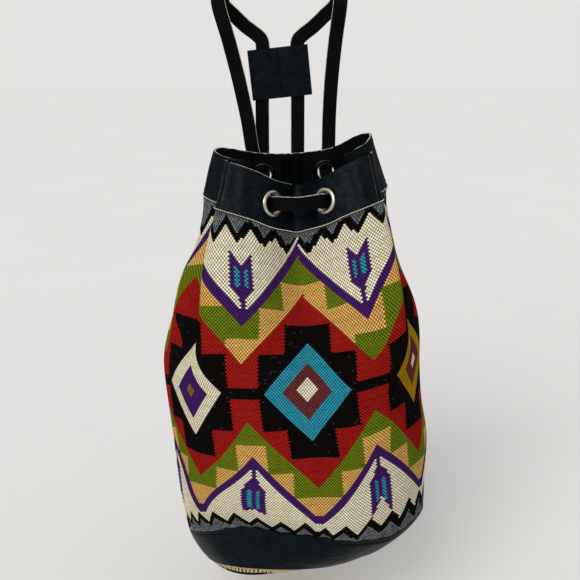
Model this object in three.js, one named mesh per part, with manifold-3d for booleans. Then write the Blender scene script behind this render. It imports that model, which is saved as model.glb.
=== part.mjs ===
// Drawstring sling backpack, hung by its two strap loops. Millimetres, +Z up, front towards -Y.
// The origin is the top of the two loops, where a bar or a pair of pegs carries the bag.
import * as THREE from 'three';
import Module from 'manifold-3d';

const wasm = await Module();
wasm.setup();

// Stock
const GAP = 0.3; // clearance between pieces that touch
const WOVEN_T = 3.0; // woven wool of the body and the bottom
const LEATHER_T = 2.4; // collar and base band
const STRAP_W = 16.0; // flat leather lace that is also both shoulder straps
const STRAP_T = 2.6;

// Mouth, measured at the lower edge of the collar
const MOUTH_X = 15.0; // middle of the mouth, left to right of the loops
const MOUTH_Z = -222.0;
const MOUTH_REAR = 4.0; // rear wall behind the loops
const MOUTH_DEPTH = 99.0; // rear wall to the front panel
const FRONT_HALF = 90.5; // middle of the front panel to its creases
const FRONT_SHIFT = 7.0; // front panel pulled to the right of the rear wall
const FRONT_DIP = 39.0; // the drawn front middle hangs below the creases
const VALLEY = 34.0; // how far the drawstring pulls the front middle back
const VALLEY_TOP = 15.0; // further pull at the upper edge
const PLEAT_TUCK = 28.0; // how deep each side pleat goes in behind the front panel
const PLEAT_AIR = 6.5; // room between the layers of a pleat
const LOBE_HALF = 104.5; // middle of the mouth to the open side lobes
const LOBE_LIFT = 8.0;
const MOUTH_ROLL = 0.05; // the right side hangs higher
const LOBE_CURL = 6.0; // the right lobe's upper edge curls in
const LOBE_RISE = 8.0; // and stands up
const COLLAR_H = 50.0;
const COLLAR_TAPER = 0.875; // upper edge against the lower edge, left to right
const COLLAR_LEAN = 0.737; // the same, front to rear
const COLLAR_SEAM = 0.018; // seam inside each crease, as a share of the half round
const COLLAR_BACK = 7.0; // rear wall leans in towards the mouth

// Body below the collar
const BODY_TWIST = THREE.MathUtils.degToRad(7.3);
const BELLY_AT = 0.5; // share of the drop where the folds have opened out
const FLARE = 13.0; // the pleats spread as they open
const GATHER = 5.0; // rear cloth gathered into the collar
const GATHERS = 9;
const GATHER_AT = 0.07; // share of the drop where the gathers stand out most

// Base
const BASE_X = 28.0;
const BASE_Y = -130.0;
const BASE_Z = -577.0;
const BASE_HALF_W = 135.0;
const BASE_HALF_D = 106.0;
const BASE_ROLL = 0.1; // right side up
const BASE_TILT = -0.33; // front up
const BASE_SAG = 18.0; // the band droops at its front right
const BASE_LIFT = 4.0; // and rises at its front left
const BASE_TUCK = 0.14; // where the full cloth turns in over it, as a share of the section
const TUCK_FROM = 0.86; // share of the drop where that turn starts
const BAND_H = 45.0;
const BAND_CURVE = 1.35; // how roundly the band turns under
const BOTTOM_HALF_W = 99.0;
const BOTTOM_HALF_D = 86.0;
const BOTTOM_SHIFT_X = -14.0;
const BOTTOM_SHIFT_Y = 6.0;
const BOTTOM_BULGE = 22.0;

// Eyelets
const EYELET_HOLE = STRAP_W + 3.0;
const EYELET_WALL = 0.8;
const FLANGE_W = 4.7;
const FLANGE_T = 1.8;
const WASHER_T = 1.2;
const ROUND = 18; // facets of a turned piece
const EYELET_SPREAD = 0.083; // front eyelets, as a share of the half round from the front middle
const REAR_LEFT = 0.237; // rear eyelets, the same from the rear middle
const REAR_RIGHT = 0.275;
const EYELET_UP = 0.5; // share of the collar's height

// Straps and their slider
const LOOP_X = 68.0; // each loop from the middle
const LOOP_R = 9.0; // bend over the bar
const LACE_Y = 15.5; // plane of the lace through the slider
const LACE_CLEAR = 0.8; // lace off the rear cloth
const LACE_LEFT = -20.5;
const LACE_RIGHT = 21.0;
const SLIDER_W = 70.0;
const SLIDER_H = 57.0;
const SLIDER_WALL = 2.2;
const SLIDER_WEB = 3.0;
const SLIDER_Z = -85.0;
const SLIDER_TURN = THREE.MathUtils.degToRad(6);
const SLIDER_TRAVEL = 45.0; // down the straight stretch of the lace

const smooth = (from, to, x) => THREE.MathUtils.smoothstep(x, from, to);
const bell = (x, at, width) => Math.exp(-(((x - at) / width) ** 2));
const mix = THREE.MathUtils.lerp;

// Mouth outline, front middle round to rear middle: share of the half round, across, depth, height.
// Three layers lie behind each crease: the front panel, the return and the side lobe.
const layer = WOVEN_T + PLEAT_AIR;
const front = MOUTH_REAR - MOUTH_DEPTH;
const crease = front + 6;
const pleatEnd = FRONT_HALF - PLEAT_TUCK;
const mouthHalf = [
  [0.0, 0, front + VALLEY, -FRONT_DIP],
  [0.034, 0.138 * FRONT_HALF, front + 0.79 * VALLEY, -0.86 * FRONT_DIP],
  [0.087, 0.354 * FRONT_HALF, front + 0.29 * VALLEY, -0.62 * FRONT_DIP],
  [0.136, 0.564 * FRONT_HALF, front + 0.06 * VALLEY, -0.36 * FRONT_DIP],
  [0.187, 0.796 * FRONT_HALF, front, -0.15 * FRONT_DIP],
  [0.238, FRONT_HALF, crease, 0],
  [0.262, FRONT_HALF - 5, crease + layer, 0],
  [0.311, pleatEnd + 1, crease + 1.5 * layer, -3],
  [0.33, pleatEnd + 2, crease + 2.5 * layer, -3],
  [0.398, 0.885 * LOBE_HALF, 0.36 * crease - 0.2 * MOUTH_DEPTH, 0.2 * LOBE_LIFT],
  [0.461, LOBE_HALF, MOUTH_REAR - 0.38 * MOUTH_DEPTH, LOBE_LIFT],
  [0.519, 0.87 * LOBE_HALF, MOUTH_REAR - 0.12 * MOUTH_DEPTH, LOBE_LIFT],
  [0.655, 0.51 * LOBE_HALF, MOUTH_REAR - 1, 0],
  [0.825, 0.26 * LOBE_HALF, MOUTH_REAR, -3],
  [1.0, 0, MOUTH_REAR, -4],
];
const mirrored = mouthHalf
  .slice(1, -1)
  .reverse()
  .map(([share, across, depth, height]) => [2 - share, -across, depth, height]);
const mouth = [...mouthHalf, ...mirrored];
const SPANS = mouth.length;
const shares = [...mouth.map((row) => row[0]), 2];

const lowerEdge = new THREE.CatmullRomCurve3(
  mouth.map(([, across, depth, height]) => {
    const x = MOUTH_X + across + FRONT_SHIFT * (depth / crease);
    return new THREE.Vector3(x, depth, MOUTH_Z + height + MOUTH_ROLL * (x - MOUTH_X));
  }),
  true,
  'catmullrom',
  0.5,
);
const upperEdge = new THREE.CatmullRomCurve3(
  mouth.map(([share, across, depth], i) => {
    const pull = VALLEY_TOP * bell(Math.min(share, 2 - share), 0, 0.058);
    const y = COLLAR_LEAN * depth - COLLAR_BACK + pull;
    const curl = bell(share, 0.46, 0.07);
    const x = MOUTH_X + COLLAR_TAPER * across + FRONT_SHIFT * (depth / crease) - LOBE_CURL * curl;
    return new THREE.Vector3(x, y, lowerEdge.points[i].z + COLLAR_H + LOBE_RISE * curl);
  }),
  true,
  'catmullrom',
  0.5,
);

// Places round the bag are spans of that outline; shareAt turns a place into a share, placeAt back.
function shareAt(place) {
  const i = Math.min(Math.floor(place), SPANS - 1);
  return mix(shares[i], shares[i + 1], place - i);
}
function placeAt(share) {
  const wrapped = ((share % 2) + 2) % 2;
  const i = Math.max(0, shares.findIndex((value) => value > wrapped) - 1);
  return i + (wrapped - shares[i]) / (shares[i + 1] - shares[i]);
}
const signedShare = (share) => (share > 1 ? share - 2 : share);

function oval(share, x, y, halfW, halfD) {
  const even = BODY_TWIST + Math.PI * share;
  const turn = even - ((halfW - halfD) / (2 * (halfW + halfD))) * Math.sin(2 * even);
  return new THREE.Vector2(x + halfW * Math.sin(turn), y - halfD * Math.cos(turn));
}

// Sections of the body by share of the drop: middle left to right, front to rear, half width, half depth
const sections = [
  [0.0, 18, -52, 140, 100],
  [0.25, 20, -74, 150, 106],
  [0.5, 14, -96, 144, 110],
  [0.75, 24, -112, 143, 115],
  [1.0, BASE_X, BASE_Y, BASE_HALF_W, BASE_HALF_D],
];
function sectionAt(drop) {
  const last = sections.length - 1;
  const i = Math.min(Math.floor(drop * last), last - 1);
  const t = drop * last - i;
  const before = sections[Math.max(i - 1, 0)];
  const after = sections[Math.min(i + 2, last)];
  return sections[i].map((a, k) => {
    const b = sections[i + 1][k];
    const inTan = i > 0 ? (b - before[k]) / 2 : b - a;
    const outTan = i + 2 <= last ? (after[k] - a) / 2 : b - a;
    const h = t * t * (3 - 2 * t);
    return a + (b - a) * h + inTan * t * (1 - t) ** 2 - outTan * t * t * (1 - t);
  });
}

function baseHeight(share, at) {
  const sag = BASE_SAG * bell(signedShare(share), 0.23, 0.15);
  const lift = BASE_LIFT * bell(signedShare(share), -0.28, 0.22);
  return BASE_Z + BASE_ROLL * (at.x - BASE_X) + BASE_TILT * (at.y - BASE_Y) - sag + lift;
}
function tuckAt(share, drop) {
  const turn = Math.max(0, (drop - TUCK_FROM) / (1 - TUCK_FROM));
  return 1 - BASE_TUCK * bell(signedShare(share), -0.2, 0.25) * turn * turn;
}
function baseRim(share) {
  const tuck = tuckAt(share, 1);
  return oval(share, BASE_X, BASE_Y, BASE_HALF_W * tuck, BASE_HALF_D * tuck);
}

// Surfaces, each from its lower edge (0) to its upper edge (1)
function collarAt(place, up) {
  const low = lowerEdge.getPoint(place / SPANS);
  return low.lerp(upperEdge.getPoint(place / SPANS), up);
}
const gatherRise = (drop) => (drop / GATHER_AT) * Math.exp(1 - drop / GATHER_AT);
function smoothBodyAt(place, up) {
  const drop = 1 - up;
  const share = shareAt(place);
  const signed = signedShare(share);
  const edge = lowerEdge.getPoint(place / SPANS);
  const [, x, y, halfW, halfD] = sectionAt(drop);
  const tuck = tuckAt(share, drop);
  const full = oval(share, x, y, halfW * tuck, halfD * tuck);
  const open = smooth(0, BELLY_AT, drop);
  const spread = FLARE * bell(Math.abs(signed), 0.262, 0.063) * Math.sin(Math.PI * Math.min(drop / 0.55, 1));
  return new THREE.Vector3(
    mix(edge.x, full.x, open) + Math.sign(signed) * spread,
    mix(edge.y, full.y, open),
    mix(edge.z, baseHeight(share, baseRim(share)), drop),
  );
}
function bodyAt(place, up) {
  const share = shareAt(place);
  const rear = Math.max(0, Math.abs(signedShare(share)) - 0.5);
  const fold = 0.5 * GATHER * gatherRise(1 - up) * (1 - Math.cos(2 * Math.PI * GATHERS * rear));
  const away = oval(share, 0, 0, BASE_HALF_W, BASE_HALF_D).normalize().multiplyScalar(fold);
  return smoothBodyAt(place, up).add(new THREE.Vector3(away.x, away.y, 0));
}
function bottomRim(share) {
  const x = BASE_X + BOTTOM_SHIFT_X;
  const y = BASE_Y + BOTTOM_SHIFT_Y;
  const at = oval(share, x, y, BOTTOM_HALF_W, BOTTOM_HALF_D);
  const z = BASE_Z - BAND_H + 0.73 * BASE_ROLL * (at.x - x) + BASE_TILT * (at.y - y);
  return new THREE.Vector3(at.x, at.y, z);
}
function bandAt(place, up) {
  const share = shareAt(place);
  const top = baseRim(share);
  const low = bottomRim(share);
  const under = (1 - up) ** BAND_CURVE;
  return new THREE.Vector3(
    mix(top.x, low.x, under),
    mix(top.y, low.y, under),
    mix(low.z, baseHeight(share, top), up),
  );
}
function bottomAt(place, out) {
  const rim = bottomRim(shareAt(place));
  const x = BASE_X + BOTTOM_SHIFT_X;
  const y = BASE_Y + BOTTOM_SHIFT_Y;
  const middle = new THREE.Vector3(x, y, BASE_Z - BAND_H);
  const dome = BOTTOM_BULGE * (1 - out * out);
  return middle.lerp(rim, out).add(new THREE.Vector3(0, 0, -dome));
}

const wrapped = (place) => ((place % SPANS) + SPANS) % SPANS;
function alongAt(surface, place, up) {
  const d = 0.01;
  return surface(wrapped(place + d), up).sub(surface(wrapped(place - d), up));
}
function normalAt(surface, place, up) {
  const d = 0.01;
  const low = Math.max(0, up - d);
  const high = Math.min(1, up + d);
  const rise = surface(wrapped(place), high).sub(surface(wrapped(place), low));
  return alongAt(surface, place, up).cross(rise).normalize();
}
// At a seam the two walls share this level direction, so that their edges lie face to face
function edgeNormalAt(surface, place, up) {
  return alongAt(surface, place, up).cross(new THREE.Vector3(0, 0, 1)).normalize();
}

function meshGeometry(points, faces) {
  const geometry = new THREE.BufferGeometry();
  geometry.setAttribute('position', new THREE.Float32BufferAttribute(points.flatMap((p) => [p.x, p.y, p.z]), 3));
  geometry.setIndex(faces.flat());
  return geometry;
}

// A wall of even thickness under a surface, over the given places and heights
function wall(surface, places, ups, thickness, closed) {
  const rows = ups.length;
  const cols = places.length;
  const outer = [];
  const inner = [];
  for (const place of places) {
    ups.forEach((up, j) => {
      const at = wrapped(place);
      const point = surface(at, up);
      const atEdge = j === 0 || j === rows - 1;
      const normal = atEdge ? edgeNormalAt(surface, at, up) : normalAt(surface, at, up);
      outer.push(point);
      inner.push(point.clone().addScaledVector(normal, -thickness));
    });
  }
  const o = (i, j) => (i % cols) * rows + j;
  const n = (i, j) => cols * rows + o(i, j);
  const faces = [];
  const quad = (a, b, c, d) => faces.push([a, b, c], [a, c, d]);
  const spans = closed ? cols : cols - 1;
  for (let i = 0; i < spans; i++) {
    for (let j = 0; j < rows - 1; j++) {
      quad(o(i, j), o(i + 1, j), o(i + 1, j + 1), o(i, j + 1));
      quad(n(i, j + 1), n(i + 1, j + 1), n(i + 1, j), n(i, j));
    }
    quad(n(i, 0), n(i + 1, 0), o(i + 1, 0), o(i, 0));
    quad(o(i, rows - 1), o(i + 1, rows - 1), n(i + 1, rows - 1), n(i, rows - 1));
  }
  if (!closed) {
    const end = cols - 1;
    for (let j = 0; j < rows - 1; j++) {
      quad(o(0, j), o(0, j + 1), n(0, j + 1), n(0, j));
      quad(n(end, j), n(end, j + 1), o(end, j + 1), o(end, j));
    }
  }
  return meshGeometry([...outer, ...inner], faces);
}

// A dished disc under a surface, from its middle to the given share of its rim
function disc(surface, places, outs, thickness) {
  const cols = places.length;
  const rows = outs.length;
  const up = new THREE.Vector3(0, 0, thickness);
  const skin = places.flatMap((place) => outs.map((out) => surface(place, out)));
  const middle = surface(0, 0);
  const points = [...skin, ...skin.map((p) => p.clone().add(up)), middle, middle.clone().add(up)];
  const o = (i, j) => (i % cols) * rows + j;
  const n = (i, j) => cols * rows + o(i, j);
  const low = 2 * cols * rows;
  const faces = [];
  const quad = (a, b, c, d) => faces.push([a, b, c], [a, c, d]);
  for (let i = 0; i < cols; i++) {
    faces.push([low, o(i + 1, 0), o(i, 0)], [low + 1, n(i, 0), n(i + 1, 0)]);
    for (let j = 0; j < rows - 1; j++) {
      quad(o(i, j), o(i + 1, j), o(i + 1, j + 1), o(i, j + 1));
      quad(n(i, j + 1), n(i + 1, j + 1), n(i + 1, j), n(i, j));
    }
    quad(o(i, rows - 1), o(i + 1, rows - 1), n(i + 1, rows - 1), n(i, rows - 1));
  }
  return meshGeometry(points, faces);
}

function solidOf(geometry) {
  const mesh = new wasm.Mesh({
    numProp: 3,
    vertProperties: new Float32Array(geometry.getAttribute('position').array),
    triVerts: new Uint32Array(geometry.index.array),
  });
  mesh.merge();
  return new wasm.Manifold(mesh);
}
function geometryOf(solid) {
  const mesh = solid.getMesh();
  const geometry = new THREE.BufferGeometry();
  geometry.setAttribute('position', new THREE.BufferAttribute(new Float32Array(mesh.vertProperties), 3));
  geometry.setIndex(Array.from(mesh.triVerts));
  return geometry;
}
const cut = (geometry, tools) =>
  geometryOf(tools.reduce((solid, tool) => solid.subtract(solidOf(tool)), solidOf(geometry)));

// A turned ring whose axis runs along the given direction, from points of radius and height
function turned(profile, centre, axis, steps) {
  const rows = profile.length;
  const turn = new THREE.Quaternion().setFromUnitVectors(new THREE.Vector3(0, 0, 1), axis);
  const points = [];
  const faces = [];
  for (let i = 0; i < steps; i++) {
    const a = (2 * Math.PI * i) / steps;
    for (const [r, z] of profile) {
      const p = new THREE.Vector3(r * Math.cos(a), r * Math.sin(a), z);
      points.push(p.applyQuaternion(turn).add(centre));
    }
  }
  const at = (i, j) => (i % steps) * rows + (j % rows);
  for (let i = 0; i < steps; i++) {
    for (let j = 0; j < rows; j++) {
      const [a, b, c, d] = [at(i, j), at(i + 1, j), at(i + 1, j + 1), at(i, j + 1)];
      faces.push([a, b, c], [a, c, d]);
    }
  }
  return meshGeometry(points, faces);
}
function plug(radius, from, to, centre, axis, steps) {
  const geometry = new THREE.CylinderGeometry(radius, radius, to - from, steps);
  geometry.deleteAttribute('uv');
  geometry.deleteAttribute('normal');
  const turn = new THREE.Quaternion().setFromUnitVectors(new THREE.Vector3(0, 1, 0), axis);
  const shift = centre.clone().addScaledVector(axis, (from + to) / 2);
  return geometry.applyMatrix4(new THREE.Matrix4().compose(shift, turn, new THREE.Vector3(1, 1, 1)));
}

// A flat lace along a smooth path; each point also gives the direction of the lace's width
function lace(path, perSpan) {
  const middle = new THREE.CatmullRomCurve3(path.map(([p]) => p), false, 'centripetal');
  const spans = path.length - 1;
  const steps = spans * perSpan;
  const points = [];
  for (let k = 0; k <= steps; k++) {
    const i = Math.min(Math.floor(k / perSpan), spans - 1);
    const part = k / perSpan - i;
    const p = middle.getPoint(k / steps);
    const tangent = middle.getTangent(k / steps);
    const wide = path[i][1].clone().normalize().lerp(path[i + 1][1].clone().normalize(), part);
    wide.addScaledVector(tangent, -wide.dot(tangent)).normalize();
    const face = new THREE.Vector3().crossVectors(tangent, wide);
    for (const [w, f] of [[-1, -1], [1, -1], [1, 1], [-1, 1]]) {
      points.push(p.clone().addScaledVector(wide, (w * STRAP_W) / 2).addScaledVector(face, (f * STRAP_T) / 2));
    }
  }
  const faces = [[0, 2, 1], [0, 3, 2]];
  for (let k = 0; k < steps; k++) {
    for (let c = 0; c < 4; c++) {
      const a = 4 * k + c;
      const b = 4 * k + ((c + 1) % 4);
      faces.push([a, b, b + 4], [a, b + 4, a + 4]);
    }
  }
  const end = 4 * steps;
  faces.push([end, end + 1, end + 2], [end, end + 2, end + 3]);
  return meshGeometry(points, faces);
}

const leather = { color: 0x12181d, roughness: 0.45, metalness: 0 };
const woven = { color: 0xa3322a, roughness: 0.95, metalness: 0 };
const nickel = { color: 0xb9b4a8, roughness: 0.25, metalness: 1 };
const bag = new THREE.Group();
bag.name = 'sling_backpack';
function add(name, geometry, look) {
  const mesh = new THREE.Mesh(geometry, new THREE.MeshStandardMaterial(look));
  mesh.name = name;
  bag.add(mesh);
}

// Places between two shares, with every outline point and some between
function places(from, to, between) {
  const list = [];
  const start = from < 0 ? placeAt(from) - SPANS : placeAt(from);
  const end = to <= 0 ? placeAt(to) - SPANS : placeAt(to);
  list.push(start);
  for (let k = Math.floor(start * between) + 1; k < end * between - 1e-6; k++) {
    list.push(k / between);
  }
  list.push(end);
  return list;
}
const evenPlaces = (from, to, count) =>
  Array.from({ length: count + 1 }, (_, i) => placeAt(mix(from, to, i / count)));
const steps = (count, from = 0, to = 1) => Array.from({ length: count + 1 }, (_, i) => mix(from, to, i / count));

// Side seams halve the round. Half a clearance is left on each side of every seam.
const HALF_ROUND = 412;
const seamGap = GAP / 2 / HALF_ROUND;
const bodyDrop = MOUTH_Z - BASE_Z;
const bodyUps = steps(10, GAP / bodyDrop, 1 - GAP / bodyDrop);
add('woven_front_panel', wall(bodyAt, places(-0.5 + seamGap, 0.5 - seamGap, 3), bodyUps, WOVEN_T, false), woven);
add('woven_back_panel', wall(bodyAt, evenPlaces(0.5 + seamGap, 1.5 - seamGap, 45), bodyUps, WOVEN_T, false), woven);

// Eyelets stand square on the collar: two in its front wall, two in its rear wall
const eyelets = {
  front_left: -EYELET_SPREAD,
  front_right: EYELET_SPREAD,
  rear_left: -1 + REAR_LEFT,
  rear_right: 1 - REAR_RIGHT,
};
const barrel = EYELET_HOLE / 2 + EYELET_WALL;
const flange = EYELET_HOLE / 2 + FLANGE_W + EYELET_WALL;
const seat = LEATHER_T / 2 + GAP;
const seats = {};
for (const [name, share] of Object.entries(eyelets)) {
  const place = placeAt(share);
  const axis = normalAt(collarAt, place, EYELET_UP);
  const centre = collarAt(place, EYELET_UP).addScaledVector(axis, -LEATHER_T / 2);
  seats[name] = { centre, axis };
  const inside = -(seat + WASHER_T);
  const ring = [
    [EYELET_HOLE / 2, inside],
    [barrel, inside],
    [barrel, seat],
    [flange, seat],
    [flange - 0.2 * FLANGE_W, seat + 0.8 * FLANGE_T],
    [flange - 0.5 * FLANGE_W, seat + FLANGE_T],
    [EYELET_HOLE / 2 + 0.2 * FLANGE_W, seat + 0.8 * FLANGE_T],
    [EYELET_HOLE / 2, seat],
  ];
  const disk = [
    [barrel + GAP, inside],
    [flange - 1, inside],
    [flange - 1, -seat],
    [barrel + GAP, -seat],
  ];
  add(`eyelet_${name}`, turned(ring, centre, axis, ROUND), nickel);
  add(`washer_${name}`, turned(disk, centre, axis, ROUND), nickel);
}
// Leather is pierced for each barrel and pressed flat under its flange and washer
const pierce = ({ centre, axis }) => [
  plug(barrel + GAP, -12, 12, centre, axis, ROUND),
  plug(flange + GAP, LEATHER_T / 2, 9, centre, axis, ROUND),
  plug(flange + GAP, -9, -LEATHER_T / 2, centre, axis, ROUND),
];
const collarUps = steps(2, GAP / COLLAR_H, 1);
// The two collar pieces are sewn together just inside the creases of the front panel
const seamShare = mouthHalf[5][0] - COLLAR_SEAM;
const collarFront = wall(collarAt, places(-seamShare + seamGap, seamShare - seamGap, 3), collarUps, LEATHER_T, false);
const collarRear = wall(
  collarAt,
  places(seamShare + seamGap, 2 - seamShare - seamGap, 3),
  collarUps,
  LEATHER_T,
  false,
);
add('collar_front', cut(collarFront, [...pierce(seats.front_left), ...pierce(seats.front_right)]), leather);
add('collar_back', cut(collarRear, [...pierce(seats.rear_left), ...pierce(seats.rear_right)]), leather);

// Base band and the woven bottom inside its lower edge
const around = steps(42).slice(0, -1).map((t) => placeAt(2 * t));
const bandUps = steps(3, GAP / BAND_H, 1 - GAP / BAND_H);
add('base_band', wall(bandAt, around, bandUps, LEATHER_T, true), leather);
const rimShare = 1 - (LEATHER_T + 2 * GAP) / BOTTOM_HALF_D;
add('base_panel', disc(bottomAt, around, [0.3, 0.6, 0.85, rimShare], WOVEN_T), { ...woven, color: 0xb08a52 });

// The lace: from the base seam up through the slider, over a loop, into a rear eyelet,
// across the inside, and out through the front eyelets
const across = new THREE.Vector3(1, 0, 0);
const upright = new THREE.Vector3(0, 0, 1);
const v = (x, y, z) => new THREE.Vector3(x, y, z);
function backPoint(x, up) {
  let low = placeAt(0.55);
  let high = placeAt(1.45);
  for (let k = 0; k < 40; k++) {
    const middle = (low + high) / 2;
    if (smoothBodyAt(middle, up).x > x) {
      low = middle;
    } else {
      high = middle;
    }
  }
  const lift = GATHER * gatherRise(1 - up) + LACE_CLEAR + STRAP_T / 2;
  const point = smoothBodyAt(low, up).addScaledVector(normalAt(smoothBodyAt, low, up), lift);
  return [point, alongAt(smoothBodyAt, low, up).setZ(0).negate()];
}
function shoulderStrap(side, laceX, endX, seatName, footOut) {
  const { centre, axis } = seats[seatName];
  const path = [0.012, 0.12, 0.25, 0.38, 0.5, 0.6, 0.68, 0.75, 0.81, 0.86].map((up) =>
    backPoint(mix(endX, laceX, Math.min(1, up / 0.55)), up),
  );
  path.push([v(laceX, LACE_Y, MOUTH_Z), across]);
  path.push([v(laceX, LACE_Y, SLIDER_Z - SLIDER_H / 2 - SLIDER_TRAVEL - STRAP_W), across]);
  path.push([v(laceX, LACE_Y, SLIDER_Z - SLIDER_H / 2), across]);
  path.push([v(laceX, LACE_Y, SLIDER_Z), across]);
  path.push([v(laceX, LACE_Y, SLIDER_Z + SLIDER_H / 2 + 7), across]);
  path.push([v(laceX + side * 6, LACE_Y - 0.5, SLIDER_Z + SLIDER_H / 2 + 14), across]);
  path.push([v(side * 0.56 * LOOP_X, LOOP_R + 4.5, -34), across]);
  path.push([v(side * 0.75 * LOOP_X, LOOP_R + 2, -22), across]);
  path.push([v(side * 0.93 * LOOP_X, LOOP_R, -LOOP_R - 1), across]);
  path.push([v(side * 0.965 * LOOP_X, 0.7 * LOOP_R, STRAP_T / 2 - 0.3 * LOOP_R), across]);
  path.push([v(side * 0.985 * LOOP_X, 0, STRAP_T / 2), across]);
  path.push([v(side * LOOP_X, -0.7 * LOOP_R, STRAP_T / 2 - 0.3 * LOOP_R), across]);
  path.push([v(side * LOOP_X, -LOOP_R, -LOOP_R), across]);
  const foot = centre.clone().addScaledVector(axis, 9.5).add(v(side * footOut, 0, 19));
  const top = v(side * LOOP_X, -LOOP_R, -LOOP_R);
  for (const t of [0.25, 0.5, 0.75]) {
    path.push([top.clone().lerp(foot, t).add(v(-side * 3 * Math.sin(Math.PI * t), 0, 0)), across]);
  }
  path.push([foot, across]);
  path.push([centre.clone().addScaledVector(axis, 8.5).add(v(side * 0.32 * footOut, 0, 6.5)), across]);
  path.push([centre.clone().addScaledVector(axis, 4).add(v(0, 0, 0.8)), across]);
  path.push([centre.clone().addScaledVector(axis, -5), across]);
  path.push([centre.clone().addScaledVector(axis, -18), across]);
  return path;
}
const leftPath = shoulderStrap(-1, LACE_LEFT, -36, 'rear_left', 11);
const rightPath = shoulderStrap(1, LACE_RIGHT, 40, 'rear_right', 3);
add('strap_left', lace(leftPath, 2), leather);
add('strap_right', lace(rightPath, 2), leather);

// Inside run and the short stretch across the front, end to end with the two straps
function inner(name, sign) {
  const rear = seats[`rear_${name}`];
  const fore = seats[`front_${name}`];
  const start = rear.centre.clone().addScaledVector(rear.axis, -18 - GAP);
  const lead = fore.centre.clone().addScaledVector(fore.axis, -15);
  const half = start.clone().lerp(lead, 0.5).add(v(sign * 3, 0, -2));
  return [
    [start, v(1, 0, 0)],
    [start.clone().addScaledVector(rear.axis, -6), v(1, 0, 0)],
    [half, v(0.7, 0, -sign * 0.7)],
    [lead, v(0, 0, -sign)],
    [fore.centre.clone().addScaledVector(fore.axis, -5), v(0, 0, -sign)],
    [fore.centre.clone().addScaledVector(fore.axis, 5), v(0, 0, -sign)],
  ];
}
const leftRun = inner('left', -1);
const rightRun = inner('right', 1).reverse().map(([p, w]) => [p, w.clone().negate()]);
const between = leftRun[leftRun.length - 1][0].clone().lerp(rightRun[0][0], 0.5).add(v(0, -7, -1));
add('drawstring_front', lace([...leftRun, [between, upright], ...rightRun], 3), leather);

// Slider: a flat leather sleeve sewn down the middle into two channels
const channelW = (SLIDER_W - 2 * SLIDER_WALL - SLIDER_WEB) / 2;
const channelT = STRAP_T + 2 * GAP;
const sleeveT = channelT + 2 * SLIDER_WALL;
function rounded(width, height, radius, x) {
  const outline = new THREE.Path();
  outline.moveTo(x - width / 2 + radius, -height / 2);
  outline.lineTo(x + width / 2 - radius, -height / 2);
  outline.absarc(x + width / 2 - radius, -height / 2 + radius, radius, -Math.PI / 2, 0, false);
  outline.absarc(x + width / 2 - radius, height / 2 - radius, radius, 0, Math.PI / 2, false);
  outline.absarc(x - width / 2 + radius, height / 2 - radius, radius, Math.PI / 2, Math.PI, false);
  outline.absarc(x - width / 2 + radius, -height / 2 + radius, radius, Math.PI, 1.5 * Math.PI, false);
  return outline;
}
const sleeve = new THREE.Shape(rounded(SLIDER_W, sleeveT, 0.45 * sleeveT, 0).getPoints(4));
for (const side of [-1, 1]) {
  sleeve.holes.push(rounded(channelW, channelT, 0.3 * channelT, (side * (channelW + SLIDER_WEB)) / 2));
}
const sleeveGeometry = new THREE.ExtrudeGeometry(sleeve, { depth: SLIDER_H, bevelEnabled: false, curveSegments: 4 });
sleeveGeometry.translate(0, 0, -SLIDER_H / 2);
sleeveGeometry.rotateY(-SLIDER_TURN);
sleeveGeometry.translate((LACE_LEFT + LACE_RIGHT) / 2, LACE_Y, SLIDER_Z);
add('strap_slider', sleeveGeometry, leather);

export default bag;
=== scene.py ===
# Drawstring sling backpack of flat-woven wool and navy leather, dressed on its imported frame.
import math
import bpy
import numpy as np
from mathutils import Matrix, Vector


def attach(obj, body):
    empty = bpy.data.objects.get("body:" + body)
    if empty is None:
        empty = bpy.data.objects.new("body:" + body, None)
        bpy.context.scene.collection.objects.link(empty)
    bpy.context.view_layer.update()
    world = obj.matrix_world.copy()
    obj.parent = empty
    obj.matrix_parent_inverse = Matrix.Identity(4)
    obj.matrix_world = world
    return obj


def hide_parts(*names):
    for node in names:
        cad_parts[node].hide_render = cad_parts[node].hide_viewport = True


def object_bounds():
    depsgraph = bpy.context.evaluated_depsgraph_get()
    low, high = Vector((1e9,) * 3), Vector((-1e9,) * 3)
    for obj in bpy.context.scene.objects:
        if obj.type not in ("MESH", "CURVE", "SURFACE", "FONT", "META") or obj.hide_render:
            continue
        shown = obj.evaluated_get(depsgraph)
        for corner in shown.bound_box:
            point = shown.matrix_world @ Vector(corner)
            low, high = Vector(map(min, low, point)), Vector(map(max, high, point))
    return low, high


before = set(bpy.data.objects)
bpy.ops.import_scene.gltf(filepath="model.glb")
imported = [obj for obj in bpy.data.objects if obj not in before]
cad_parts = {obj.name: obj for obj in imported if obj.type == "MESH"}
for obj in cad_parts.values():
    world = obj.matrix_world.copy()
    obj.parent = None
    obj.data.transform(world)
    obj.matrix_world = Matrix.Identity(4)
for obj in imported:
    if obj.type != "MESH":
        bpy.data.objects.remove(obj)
CAD_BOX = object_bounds()

# Sizes of the frame, in millimetres; every mesh is turned to metres as it is made. A place around the bag
# is a share of half its round: 0 at the front middle, 1 or -1 at the rear middle, below 0 on the left.
MM = 0.001
GAP = 0.3
WOVEN_T = 3.0
LEATHER_T = 2.4
LACE_W = 16.0
LACE_T = 2.6
HALF_ROUND = 412.0
PANEL_HALF = HALF_ROUND / 2

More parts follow.
